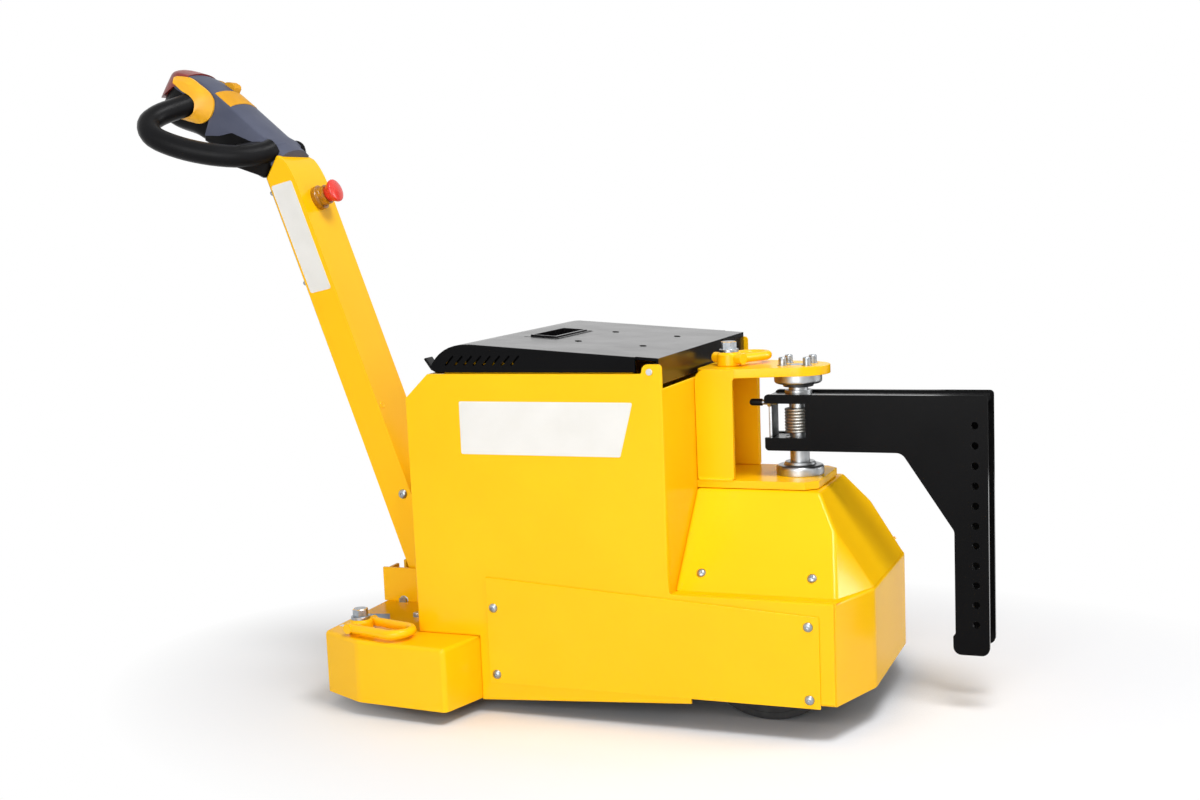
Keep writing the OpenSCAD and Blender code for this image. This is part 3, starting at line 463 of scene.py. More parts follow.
def joint_place(name):
    found = next(j for j in frame["joints"] if j["name"] == name)
    return Vector(found["pos_m"]) / MM


def tiller_frame():
    """Frame at the tiller pivot with Z along the tiller and X to its front."""
    return Matrix.Translation(joint_place("tiller_tilt")) @ Matrix.Rotation(-sizes().lean, 4, "Y")


def head_frame():
    """Frame at the head's foot with Z along the head and X towards its top."""
    up = Matrix.Translation((0, 0, sizes().tiller_length / MM))
    return tiller_frame() @ up @ Matrix.Rotation(-sizes().head_tilt, 4, "Y")


def tiller_front(y, z):
    """Frame on the tiller's front face with Z out of it."""
    return tiller_frame() @ Matrix.Translation((TILLER_HALF_DEPTH, y, z)) @ Matrix.Rotation(math.radians(90), 4, "Y")


# Fasteners

# Ring tables in shares of the thread size: radius, height, flats
FASTENER_KINDS = {
    "hex": ((1.0, 0.0), (1.0, 0.16), (0.92, 0.2), (0.84, 0.2, 6), (0.84, 0.72, 6), (0.8, 0.84), (0.1, 0.84)),
    "cap": ((0.75, 0.0), (0.75, 0.86), (0.68, 1.0), (0.4, 1.0, 6), (0.4, 0.5, 6), (0.05, 0.44)),
    "stud": ((1.0, 0.0), (1.0, 0.2), (0.76, 0.2), (0.76, 1.5), (0.66, 1.65), (0.38, 1.65, 6), (0.38, 1.1, 6),
             (0.05, 1.1)),
    "button": ((0.92, 0.0), (0.9, 0.14), (0.78, 0.36), (0.56, 0.52), (0.34, 0.56, 6), (0.34, 0.2, 6), (0.05, 0.16)),
}
Screw = namedtuple("Screw", "kind size place normal")


def screws(name, body, rows, finish=ZINC_PLATE):
    """One piece with a screw head for each row, each sunk a little into what it holds."""
    mesh = bmesh.new()
    for row in rows:
        place = facing(Vector(row.place) - Vector(row.normal).normalized() * SCREW_SINK, row.normal)
        profile = [(r * row.size, h * row.size, *flats) for r, h, *flats in FASTENER_KINDS[row.kind]]
        lathe(mesh, profile, 24, place)
    piece(name, mesh, body, finish, sharp=28)


def mirrored(rows):
    """Rows and their mirror images across the middle plane."""
    out = []
    for row in rows:
        for s in SIDES:
            x, y, z = row.place
            a, b, c = row.normal
            out.append(row._replace(place=(x, -s * y, z), normal=(a, -s * b, c)))
    return out


# Geometry nodes


def mesh_group(name, limits=()):
    """A node group with a mesh in and out and a number in for each limit, and its input node."""
    group = bpy.data.node_groups.new(name, "GeometryNodeTree")
    group.interface.new_socket("Geometry", in_out="INPUT", socket_type="NodeSocketGeometry")
    for limit in limits:
        group.interface.new_socket(limit, in_out="INPUT", socket_type="NodeSocketFloat")
    group.interface.new_socket("Geometry", in_out="OUTPUT", socket_type="NodeSocketGeometry")
    return group, add(group, "NodeGroupInput")


def smoothing_group():
    """Shades smooth and keeps edges above an angle sharp."""
    group, begin = mesh_group("smooth_by_angle")
    bend = add(group, "GeometryNodeInputMeshEdgeAngle")
    sharp = add(group, "FunctionNodeCompare", {"A": bend.outputs["Unsigned Angle"], "B": math.radians(SHARP)},
                operation="GREATER_THAN")
    smooth = add(group, "GeometryNodeSetShadeSmooth", {"Geometry": begin.outputs["Geometry"], "Shade Smooth": True},
                 domain="FACE")
    edged = add(group, "GeometryNodeSetShadeSmooth",
                {"Geometry": smooth.outputs["Geometry"], "Selection": sharp.outputs["Result"], "Shade Smooth": False},
                domain="EDGE")
    add(group, "NodeGroupOutput", {"Geometry": edged.outputs["Geometry"]})
    return group


def bend_group():
    """Weighs a sheet's outward edges for the bevel."""
    group, begin = mesh_group("bend_edges", BEND_LIMITS)
    bend = add(group, "GeometryNodeInputMeshEdgeAngle")
    ends = add(group, "GeometryNodeInputMeshEdgeVertices")
    first, last = ends.outputs["Position 1"], ends.outputs["Position 2"]
    span = add(group, "ShaderNodeVectorMath", {0: first, 1: last}, operation="DISTANCE").outputs["Value"]
    rise = add(group, "ShaderNodeVectorMath", {0: first, 1: last}, operation="MAXIMUM").outputs["Vector"]
    height = add(group, "ShaderNodeSeparateXYZ", {0: rise}).outputs["Z"]
    least = add(group, "ShaderNodeVectorMath", {0: first, 1: last}, operation="MINIMUM").outputs["Vector"]
    behind = add(group, "ShaderNodeSeparateXYZ", {0: least}).outputs["X"]
    sides = [add(group, "ShaderNodeVectorMath", {0: end}, operation="ABSOLUTE").outputs["Vector"]
             for end in (first, last)]
    inner = add(group, "ShaderNodeVectorMath", {0: sides[0], 1: sides[1]}, operation="MINIMUM").outputs["Vector"]
    half = add(group, "ShaderNodeSeparateXYZ", {0: inner}).outputs["Y"]
    tests = ((bend.outputs["Signed Angle"], math.radians(15)), (height, begin.outputs["low"]),
             (begin.outputs["front"], behind), (half, begin.outputs["wide"]), (span, begin.outputs["length"]))
    share = None
    for more, less in tests:
        passed = add(group, "ShaderNodeMath", {0: more, 1: less}, operation="GREATER_THAN").outputs["Value"]
        if share is not None:
            passed = add(group, "ShaderNodeMath", {0: share, 1: passed}, operation="MULTIPLY").outputs["Value"]
        share = passed
    kept = add(group, "GeometryNodeStoreNamedAttribute",
               {"Geometry": begin.outputs["Geometry"], "Name": "bevel_weight_edge", "Value": share},
               data_type="FLOAT", domain="EDGE")
    add(group, "NodeGroupOutput", {"Geometry": kept.outputs["Geometry"]})
    return group


# Operators


class TUGGER_OT_frame_finish(bpy.types.Operator):
    """Gives each CAD node its material and the bend radius of its sheet."""

    bl_idname = "tugger.frame_finish"
    bl_label = "Frame finish"

    def execute(self, context):
        for finish, nodes in FINISH_NODES:
            for name in nodes:
                node = frame["nodes"][name]
                node.data.materials.clear()
                node.data.materials.append(finish_of(finish))
        group = smoothing_group()
        weigh = bend_group()
        for fold in FOLDS:
            for name in fold.nodes:
                self.soften(frame["nodes"][name], fold, group)
        for bend in BENDS:
            for name in bend.nodes:
                self.soften(frame["nodes"][name], bend, group, weigh)
        return {"FINISHED"}

    def soften(self, node, fold, group, weigh=None):
        weld = node.modifiers.new("joined_corners", "WELD")
        weld.merge_threshold = 1e-5
        if fold.radius:
            plain = node.modifiers.new("plain_faces", "DECIMATE")
            plain.decimate_type = "DISSOLVE"
            plain.angle_limit = math.radians(0.4)
            if weigh:
                marked = node.modifiers.new("bend_edges", "NODES")
                marked.node_group = weigh
                for item in weigh.interface.items_tree:
                    if item.name in BEND_LIMITS:
                        marked[item.identifier] = getattr(fold, item.name) * MM
            bevel = node.modifiers.new("fold_radius", "BEVEL")
            bevel.width = fold.radius * MM
            bevel.segments = fold.steps
            bevel.limit_method = "WEIGHT" if weigh else "ANGLE"
            bevel.angle_limit = math.radians(34)
            bevel.use_clamp_overlap = not weigh
            bevel.miter_outer = "MITER_ARC" if weigh else "MITER_SHARP"
        smooth = node.modifiers.new("smooth_by_angle", "NODES")
        smooth.node_group = group
        flat = node.modifiers.new("even_normals", "WEIGHTED_NORMAL")
        flat.keep_sharp = True


class TUGGER_OT_tiller(bpy.types.Operator):
    """Bent-sheet tiller arm with its rounded long edges and the emergency stop."""

    bl_idname = "tugger.tiller"
    bl_label = "Tiller"

    crown_rise, brow, shoulder_rise, stop_at = 31.0, 7.0, 66.0, 680.0

    def execute(self, context):
        self.arm()
        self.stop()
        return {"FINISHED"}

    def arm(self):
        half, brow, rise = TILLER_HALF_DEPTH, self.brow, self.shoulder_rise
        crown = sizes().tiller_length / MM + self.crown_rise
        shoulder = [(brow + (half - brow) * math.cos(math.radians(a)), crown - rise + rise * math.sin(math.radians(a)))
                    for a in across(0, 90, 12)]
        top = [(-half, crown - (half + brow) * math.tan(sizes().head_tilt))]
        outline = arc(0, 0, half, 180, 360, 24) + shoulder + top
        mesh = bmesh.new()
        flat = tiller_frame() @ Matrix.Rotation(math.radians(90), 4, "X")
        prism(mesh, outline, -TILLER_HALF_WIDTH, TILLER_HALF_WIDTH, flat, sizes().tiller_bend / MM, 5)
        piece("tiller_arm_bent", mesh, "tiller", POWDER_YELLOW, ("tiller_arm",), sharp=40)

    def stop(self):
        face = tiller_front(0, self.stop_at)
        button = bmesh.new()
        dome = [(0.1, 21.5), (12.5, 21.5), (13.5, 23), (15.2, 27), (17.6, 31.5), (19.4, 34.5), (20, 36.4), (20, 38),
                (19.5, 39.4), (18.4, 40.4), (15, 41.4), (11, 42.2), (6, 42.9), (0.1, 43.2)]
        lathe(button, dome, 64, face)
        piece("estop_mushroom", button, "tiller", RED_ABS, ("estop_button",), sharp=50)
        collar = bmesh.new()
        steps = [(21, 0), (21, 8), (20, 9), (17.6, 9), (17, 10), (17, 14), (16.2, 14.6), (16.2, 15.8), (17, 16.4),
                 (17, 21.2), (16.4, 22), (0.1, 22)]
        lathe(collar, steps, 64, face)
        piece("estop_ring", collar, "tiller", AMBER_POLYCARBONATE, ("estop_collar",), sharp=30)


# Side outlines of the head, as (height, place along the head)
SEAM = [(4, 10), (4.5, 26), (33, 34), (37, 46), (31, 58), (21, 77), (15.3, 119), (-1.6, 139), (-15, 165), (22, 171),
        (27, 182), (28, 290)]
COVER_CROWN = [(41, 10), (51, 80), (61, 150), (66, 200), (63, 242), (54, 266), (44, 283), (26, 290)]
BASE_KEEL = [(-20, 10), (-31, 77), (-32, 130), (-30, 178), (-31, 200), (-38, 235), (-36, 262), (-25, 283), (-14, 287)]
COVER_CURVE = curve_through(COVER_CROWN, 6)
KEEL_CURVE = curve_through(BASE_KEEL, 6)


def grip_point(side, u, v):
    """Point of a hand loop's middle line in the head frame: share of its length and of its reach."""
    out = 102.0 * v
    droop = math.radians(33)
    return Vector((18 - out * math.sin(droop), side * (48 + out * math.cos(droop)), 39 + 173 * u))


def head_section(half_width, seat, ridge, edge, rise, draft):
    """Half round the head: side wall with draft, rounded edge and crowned roof, mirrored; (height, side) pairs."""
    way = 1 if ridge > seat else -1
    shoulder = ridge - way * min(rise, abs(ridge - seat) * 0.5)
    edge = min(edge, half_width * 0.5, abs(shoulder - seat) * 0.6)
    wall = half_width - min(draft, half_width * 0.1)
    points = [(seat, half_width), (seat + (shoulder - way * edge - seat) * 0.5, (half_width + wall) / 2 + 0.4)]
    for a in across(0, 80, 6):
        points.append((shoulder - way * edge * (1 - math.sin(math.radians(a))),
                       wall - edge * (1 - math.cos(math.radians(a)))))
    last_x, last_y = points[-1]
    for t in across(0, 1, 6)[1:]:
        points.append((last_x + (ridge - last_x) * (1 - (1 - t) ** 2), last_y * (1 - t)))
    return points + [(x, -y) for x, y in reversed(points[:-1])]


class TUGGER_OT_head(bpy.types.Operator):
    """Moulded tiller head: cover, base, belly cap, loop bosses, thumb paddles and switch."""

    bl_idname = "tugger.head"
    bl_label = "Tiller head"

    foot, round_at = 12.0, 246.0
    cover_half, cover_edge = 44.0, 7.0
    base_half, base_edge = 42.0, 15.0

    def execute(self, context):
        self.shell("head_cover_moulded", self.cover_half, COVER_CURVE, self.cover_edge, SLATE_ABS, "head_cover")
        self.shell("head_base_moulded", self.base_half, KEEL_CURVE, self.base_edge, BLACK_NYLON, "head_base")
        self.belly()
        self.loop_bosses()
        self.paddles()
        self.switch()
        return {"FINISHED"}

    def section(self, w, wide, half, ridge, edge):
        """Points round the head at a place along it."""
        rise = 8.0 * (1 - (w - self.foot) / 420) * (wide / half)
        return head_section(wide, value_at(SEAM, w), value_at(ridge, w), edge, rise, 3.0)

    def shell(self, name, half, ridge, edge, finish, node):
        steps_in_seam = [26, 28, 30, 32, 34, 165, 166.5, 168, 169.5, 171]
        stations = [(w, half) for w in sorted(across(self.foot, self.round_at, 44) + steps_in_seam)]
        stations += [(w, wide) for wide, w in arc(0, self.round_at, half, 6, 88, 16)]
        rings = [[head_frame() @ Vector((x, y, w)) for x, y in self.section(w, wide, half, ridge, edge)]
                 for w, wide in stations]
        mesh = bmesh.new()
        skin(mesh, rings)
        piece(name, mesh, "tiller", finish, (node,), sharp=45)

    def belly(self):
        """Cap over the head's end, a little proud of the cover."""
        low_edge = [(42, 243), (28, 262), (6, 277), (-8, 292), (-8, 298)]
        roof = curve_through([(66.5, 240), (58.2, 271), (50, 286), (38, 292), (26, 296)], 5)
        start, reach, half = 250.0, 45.8, 44.6
        rings = []
        for a in across(-8, 88, 24):
            w = start + reach * math.sin(math.radians(a))
            wide = half * math.cos(math.radians(a))
            section = head_section(wide, value_at(low_edge, w), value_at(roof, w), 9.0, 5.0 * wide / half, 2.0)
            rings.append([head_frame() @ Vector((x, y, w)) for x, y in section])
        mesh = bmesh.new()
        skin(mesh, rings)
        piece("belly_cap", mesh, "tiller", BELLY_ABS, ("belly_button",), sharp=45)

    def paddles(self):
        """Crescent thumb paddles, highest beside the hand loop and sloping to their outer rim."""
        rim = [(45, 264.5), (51.3, 256), (59.8, 233), (58.5, 210), (56, 190), (47.9, 174.6), (32.6, 167.5),
               (15.6, 168.5), (0, 180), (-7, 199.8), (-12.5, 220)]
        ridge = [(43, 259), (46.5, 247), (49.5, 235.5), (48.5, 218), (44, 203), (36, 195), (25, 191), (12, 192.5),
                 (1, 199), (-5.5, 207), (-11.5, 219)]
        bore = [(38, 254.5), (36.4, 244), (34.5, 231), (35, 219), (33, 208), (27.6, 199.5), (14.1, 195.4), (5, 198),
                (-1, 203), (-6.5, 209.5), (-11, 216.5)]
        lines = [curve_through(row, 6) for row in (rim, ridge, bore)]
        mesh = bmesh.new()
        for s in SIDES:
            rings = []
            for outer, crest, inner in zip(*lines):
                middle = tuple((a + b) / 2 for a, b in zip(outer, crest))
                rows = ((outer, 44.3), (outer, 48.0), (middle, 51.0), (crest, 55.0), (inner, 58.2), (inner, 44.3))
                rings.append([head_frame() @ Vector((x, s * y, w)) for (x, w), y in rows])
            skin(mesh, rings)
        piece("thumb_paddles", mesh, "tiller", YELLOW_ABS, ("butterflies",), sharp=24)

    def switch(self):
        """Insert that follows the cover's crown, with a thumb toggle at its far end."""
        mesh = bmesh.new()
        rings = []
        for w in across(143, 181, 10):
            around = self.section(w, self.cover_half, self.cover_half, COVER_CURVE, self.cover_edge)
            roof = [p for p in around if abs(p[1]) < 39.5]
            top = [head_frame() @ Vector((x + 0.9, y, w)) for x, y in roof]
            low = [head_frame() @ Vector((x - 2.5, y, w)) for x, y in reversed(roof)]
            rings.append(top + low)
        skin(mesh, rings)
        toggle = rounded_outline([(58, 184), (70, 186), (73.5, 190), (73.5, 200), (70, 207), (58, 209)], 2.2, 3)
        prism(mesh, toggle, 17, 37, head_frame() @ upright(), 2.0, 3)
        piece("head_switch_insert", mesh, "tiller", SWITCH_ABS, ("head_switch",), sharp=35)

    def loop_bosses(self):
        """Mouldings that flow from the head's side into the lower ends of the hand loops."""
        mesh = bmesh.new()
        root = rounded_outline([(-21, 21), (5, 25), (34, 33), (37, 47), (23, 73), (4, 100), (-25, 100)], 7, 4)
        middle = Vector((8, 0, 52))
        for s in SIDES:
            end = grip_point(s, 0.17, 0.38)
            ahead = (end - grip_point(s, 0.13, 0.32)).normalized()
            rings = [[Vector((x, s * 40.0, w)) for x, w in root], [Vector((x, s * 47.0, w)) for x, w in root]]
            inset = [Vector((x, s * 50.0, w)).lerp(middle + Vector((0, s * 50, 0)), 0.06) for x, w in root]
            circle = []
            for p in inset:
                arm = p - middle - Vector((0, s * 50, 0))
                arm = arm - ahead * arm.dot(ahead)
                circle.append(end + arm.normalized() * 19.3)
            for t in across(0, 1, 10):
                ease = t * t * (3 - 2 * t)
                rings.append([p.lerp(q, 0.5 * (t + ease)) for p, q in zip(inset, circle)])
            skin(mesh, [[head_frame() @ p for p in ring] for ring in rings])
        piece("loop_bosses", mesh, "tiller", BLACK_NYLON, sharp=50)


class TUGGER_OT_fasteners(bpy.types.Operator):
    """Screw heads by table, one piece for each place they hold."""

    bl_idname = "tugger.fasteners"
    bl_label = "Fasteners"

    cover_slope = (0, -0.747, 0.665)
    bearing_circle = 27.0

    def execute(self, context):
        self.body()
        self.eyes()
        self.hitch()
        self.tiller()
        return {"FINISHED"}

    def body(self):
        panel = [Screw("button", 8, (x, -PANEL_FACE, z), (0, -1, 0))
                 for x, z in ((-4, 167), (-3, 62), (490, 168), (490, 61))]
        screws("service_panel_screws", "chassis", mirrored(panel))
        cover = [Screw("button", 8, (x, -179, 226), self.cover_slope) for x in (317, 485)]
        screws("cover_screws", "chassis", mirrored(cover))
        bumper = [Screw("hex", 8, (-255, -61, 122), (0, -1, 0)), Screw("hex", 8, (-185, -142, BUMPER_TOP), (0, 0, 1)),
                  Screw("button", 6, (-293, -238, 64), (-1, 0, 0))]
        screws("bumper_screws", "chassis", mirrored(bumper))

    def eyes(self):
        """Washer and bolt head on each lifting eye."""
        head = [(15.3, 21.9), (15.3, 25.6), (14.7, 26.2), (10.8, 26.2, 6), (10.8, 37, 6), (9.8, 38.4), (6, 38.4),
                (0.1, 38.2)]
        seats = (((-229, -248, BUMPER_TOP), 16), ((-229, 248, BUMPER_TOP), 44), ((322, -20, HITCH_PLATE_TOP), 90))
        mesh = bmesh.new()
        for seat, turn in seats:
            lathe(mesh, head, 48, Matrix.Translation(seat) @ Matrix.Rotation(math.radians(turn), 4, "Z"))
        piece("lifting_eye_bolts", mesh, "chassis", ZINC_PLATE, sharp=28)

    def hitch(self):
        tower = [Screw("hex", 8, (290, -28, z), (1, 0, 0)) for z in (424, 497)]
        screws("tower_screws", "chassis", mirrored(tower), POWDER_YELLOW)
        circle = arc(joint_place("arm_swing").x, 0, self.bearing_circle, 45, 315, 3)
        screws("bearing_screws", "chassis", [Screw("stud", 8, (x, y, HITCH_PLATE_TOP), (0, 0, 1)) for x, y in circle])

    def tiller(self):
        lay = tiller_frame()
        side = Screw("button", 9, tuple(lay @ Vector((12.2, -TILLER_HALF_WIDTH, 151.4))), (0, -1, 0))
        screws("tiller_side_screws", "tiller", mirrored([side]))
        back = (lay.to_3x3() @ Vector((-1, 0, 0)))[:]
        rear = [Screw("cap", 5, tuple(lay @ Vector((-26.4, -43, z))), back) for z in (548, 712)]
        screws("tiller_back_screws", "tiller", mirrored(rear))
        plug = bmesh.new()
        steps = [(6.4, -0.2), (6.4, 0.5), (5.8, 1.0), (4.4, 1.0), (3.9, 0.4), (0.1, 0.4)]
        lathe(plug, steps, 32, tiller_front(-37, 306))
        piece("tiller_plug", plug, "tiller", POWDER_YELLOW)


class TUGGER_OT_labels(bpy.types.Operator):
    """Blank vinyl labels."""

    bl_idname = "tugger.labels"
    bl_label = "Labels"

    sink = 0.1

    def execute(self, context):
        sides = [upright(s) for s in SIDES]
        tiller = [tiller_frame() @ lay for lay in sides]
        flat = [Matrix()]
        rows = (
            ("body_labels", "chassis", WHITE_VINYL, sides, SIDE_FACE, 3,
             [(-46, 406), (214, 406), (236, 487), (-46, 487)]),
            ("tiller_labels", "tiller", WHITE_VINYL, tiller, TILLER_HALF_WIDTH, 4,
             [(-21, 527), (19.5, 521), (19, 717), (-22, 722)]),
            ("bumper_sticker", "chassis", BLUE_VINYL, flat, BUMPER_TOP, 2,
             [(-263, -179), (-222, -169), (-238, -141), (-280, -151)]),
            ("bumper_patch", "chassis", WHITE_VINYL, flat, BUMPER_TOP, 1.5,
             [(-284, -226), (-262, -232), (-259, -223), (-281, -217)]),
        )
        thick = sizes().label_thickness / MM
        for name, body, finish, frames, face, corner, outline in rows:
            mesh = bmesh.new()
            for lay in frames:
                prism(mesh, rounded_outline(outline, corner), face - self.sink, face + thick, lay)
            piece(name, mesh, body, finish)
        return {"FINISHED"}


class TUGGER_OT_lid(bpy.types.Operator):
    """Rain lip under the lid, baffles behind its vents, rim of its pull and dark rings that paint the shade in its
    holes.
    """

    bl_idname = "tugger.lid"
    bl_label = "Lid details"

    hole_x, hole_step, hole_y = 149.0, 54.0, 82.5

    def execute(self, context):
        lip_outline = [(-74, 512), (234, 512), (234, 536), (62, 551), (-58, 551), (-74, 538)]
        baffle_outline = [(-66, 544.5), (70, 544.5), (70, 562), (-24, 568), (-52, 562)]
        lip = bmesh.new()
        baffle = bmesh.new()
        for s in SIDES:
            prism(lip, lip_outline, *sorted((s * 213, s * 216)), upright(), 1.0, 2)
            prism(baffle, baffle_outline, *sorted((s * 217.5, s * 219)), upright())
        piece("body_rain_lip", lip, "chassis", POWDER_YELLOW)
        piece("lid_vent_baffles", baffle, "lid", POWDER_BLACK)
        self.bezel()
        self.hole_shade_rings()
        return {"FINISHED"}

    def slope_frame(self, x, y):
        """Frame on the lid's sloping top with Z square to it."""
        bend_x, bend_z, front_x, front_z = -27.0, 574.0, 276.0, 551.0
        slope = math.atan((bend_z - front_z) / (front_x - bend_x))
        return Matrix.Translation((x, y, bend_z - (x - bend_x) * math.tan(slope))) @ Matrix.Rotation(slope, 4, "Y")

    def hole_shade_rings(self):
        """Dished near-black rings in the lid's four holes: painted shade standing in for the dark of the empty holes.
        """
        section = ((3.3, -3.5), (5.4, -0.2), (5.4, 0.5), (4.8, 0.7), (3.3, 0.2))
        mesh = bmesh.new()
        for x in (self.hole_x - self.hole_step, self.hole_x + self.hole_step):
            for s in SIDES:
                lay = self.slope_frame(x, s * self.hole_y)
                skin(mesh, [ring_points(r, h, 0, 32, lay) for r, h in section], loop=True)
        piece("lid_hole_shade_rings", mesh, "lid", HOLE_SHADE_RUBBER, sharp=40)

    def bezel(self):
        """Raised rim round the recessed pull, on the lid's slope."""
        low, high = (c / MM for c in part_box("lid_pull"))
        lay = self.slope_frame((low.x + high.x) / 2, 0)
        flange, inset = 2.0, 5.5
        half_l, half_w = (high.x - low.x) / 2, (high.y - low.y) / 2
        mesh = bmesh.new()
        rings = []
        steps = ((flange, -0.6), (flange, 0.3), (-inset, 0.4), (-inset - 0.8, 3), (-inset - 4.4, 3), (-inset - 5, 2.2),
                 (-inset - 5, -9))
        for grow, height in steps:
            x, y = half_l + grow, half_w + grow
            outline = rounded_outline(rectangle(-x, -y, x, y), 3.0, 5)
            rings.append([lay @ Vector((a, b, height)) for a, b in outline])
        skin(mesh, rings, loop=True)
        piece("pull_bezel", mesh, "lid", POWDER_BLACK, sharp=40)


class TUGGER_OT_battery(bpy.types.Operator):
    """Tops of the two batteries that the open lid shows: moulded lids, vent plugs, posts, boots and link."""

    bl_idname = "tugger.battery"
    bl_label = "Battery tops"

    margin, middle_gap, seat, height = 3.0, 3.0, 2.0, 12.0
    rail_half_length, rail_half_width, rail_height = 126.0, 24.0, 5.0
    plug_count, plug_pitch = 6, 40.0
    post_inset, post_side = 26.0, 60.0
    link_half, link_end = 13.0, 12.0

    def execute(self, context):
        low, high = (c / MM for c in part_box("battery_block"))
        top = high.z + self.height
        middle_x = (low.x + high.x) / 2
        rear, front = low.x + self.post_inset, high.x - self.post_inset
        covers, plugs, posts, boots = (bmesh.new() for _ in range(4))
        for s in SIDES:
            near, far = sorted((s * self.middle_gap, s * (high.y - self.margin)))
            rim = rectangle(low.x + self.margin, near, high.x - self.margin, far)
            prism(covers, rounded_outline(rim, 8, 4), high.z - self.seat, top, Matrix(), 3.0, 3)
            middle_y = (near + far) / 2
            rail = rectangle(middle_x - self.rail_half_length, middle_y - self.rail_half_width,
                             middle_x + self.rail_half_length, middle_y + self.rail_half_width)
            prism(covers, rounded_outline(rail, 10, 4), top - 1, top + self.rail_height, Matrix(), 1.5, 2)
            for i in range(self.plug_count):
                x = middle_x + (i - (self.plug_count - 1) / 2) * self.plug_pitch
                lathe(plugs, [(12.5, -1), (12.5, 3), (11.5, 4), (8, 4), (7.4, 5.2, 6), (7.4, 9.2, 6), (6.6, 10, 6)],
                      48, Matrix.Translation((x, middle_y, top + self.rail_height)))
            for x in (rear, front):
                lathe(posts, [(15, -1), (15, 4), (14, 5), (9, 5), (8.4, 20), (7.6, 21), (0.1, 21)],
                      48, Matrix.Translation((x, s * self.post_side, top)))
            lathe(boots, [(17, 6), (17.5, 8), (17.5, 22), (15, 26), (0.1, 27)],
                  48, Matrix.Translation((rear, s * self.post_side, top)))
        side, tip = self.post_side, self.post_side + self.link_end
        link = [(front, -tip), (front + self.link_half, -side), (front + self.link_half, side), (front, tip),
                (front - self.link_half, side), (front - self.link_half, -side)]
        prism(posts, rounded_outline(link, 6, 4), top + 8, top + 11, Matrix(), 0.8, 2)
        piece("battery_covers", covers, "chassis", BATTERY_CASE, sharp=40)
        piece("battery_vent_plugs", plugs, "chassis", YELLOW_ABS, sharp=40)
        piece("battery_posts", posts, "chassis", ZINC_PLATE, sharp=40)
        piece("battery_boots", boots, "chassis", RED_ABS, sharp=40)
        return {"FINISHED"}


class TUGGER_OT_hitch(bpy.types.Operator):
    """Torsion spring, stop rod, cheek sheets and weld beads of the hitch."""

    bl_idname = "tugger.hitch"
    bl_label = "Hitch"

    def execute(self, context):
        self.spring()
        self.stop_rod()
        self.cheeks()
        self.welds()
        return {"FINISHED"}

    def cheeks(self):
        """Side sheets of the tower that run up over the edge of the upper plate, with a rounded rear corner."""
        low, high = (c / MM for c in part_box("tower"))
        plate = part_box("tower_top_plate")[1] / MM
        corner = 16.0
        outline = [(high.x, low.z + 2), (high.x, high.z - 3), (high.x + 4, high.z), (high.x + 4, plate.z - 0.4)]
        outline += arc(low.x + 1 + corner, plate.z - 0.4 - corner, corner, 90, 180, 8) + [(low.x + 1, low.z + 2)]
        mesh = bmesh.new()
        for s in SIDES:
            prism(mesh, outline, high.y - 0.3, high.y + 1.6, upright(s), 0.7, 2)
        piece("tower_cheek_sheets", mesh, "chassis", POWDER_YELLOW, sharp=40)

    def spring(self):
        wire = sizes().wire / MM
        low, high = (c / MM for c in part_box("torsion_spring"))
        pin = joint_place("arm_swing")
        turns = sizes().coils
        pitch = (high.z - low.z - wire) / turns
        start = low.z + wire / 2
        steps, radius = 40, 20.0
        path = [(pin.x + radius * math.cos(2 * math.pi * k / steps), radius * math.sin(2 * math.pi * k / steps),
                 start + pitch * k / steps) for k in range(turns * steps + 1)]
        mesh = bmesh.new()
        tube(mesh, path, wire / 2, 12)
        piece("torsion_spring_coil", mesh, "hitch_arm", SPRING_STEEL, ("torsion_spring",), sharp=60)

    def stop_rod(self):
        along = Matrix.Translation((394, -20, 462)) @ Matrix.Rotation(math.radians(-90), 4, "Y")
        rod = bmesh.new()
        lathe(rod, [(4, -4), (4, 24), (0.1, 24)], 24, along)
        lathe(rod, [(6.5, 6, 6), (6.5, 11, 6), (6, 11.6), (0.1, 11.6)], 24, along)
        piece("stop_rod", rod, "hitch_arm", ZINC_PLATE)
        tip = bmesh.new()
        lathe(tip, [(5, 20), (5.6, 21), (5.6, 36), (4.6, 39), (2.5, 40.5), (0.1, 41)], 24, along)
        piece("stop_rod_tip", tip, "hitch_arm", GRIP_RUBBER)

    def welds(self):
        """Rippled beads along the foot of the tower."""
        radius, ripple_step = sizes().weld / MM, 1.5
        mesh = bmesh.new()
        for s in SIDES:
            begin, end = (Vector((x, s * 77.5, 349)) for x in (286, 340))
            count = int((end - begin).length / ripple_step)
            path = [begin.lerp(end, t) for t in across(0, 1, count)]
            ripple = [radius * (1 + 0.12 * math.sin(i * 2.1)) for i in range(count + 1)]
            tube(mesh, path, ripple, 10)
        piece("tower_welds", mesh, "chassis", POWDER_YELLOW, sharp=60)


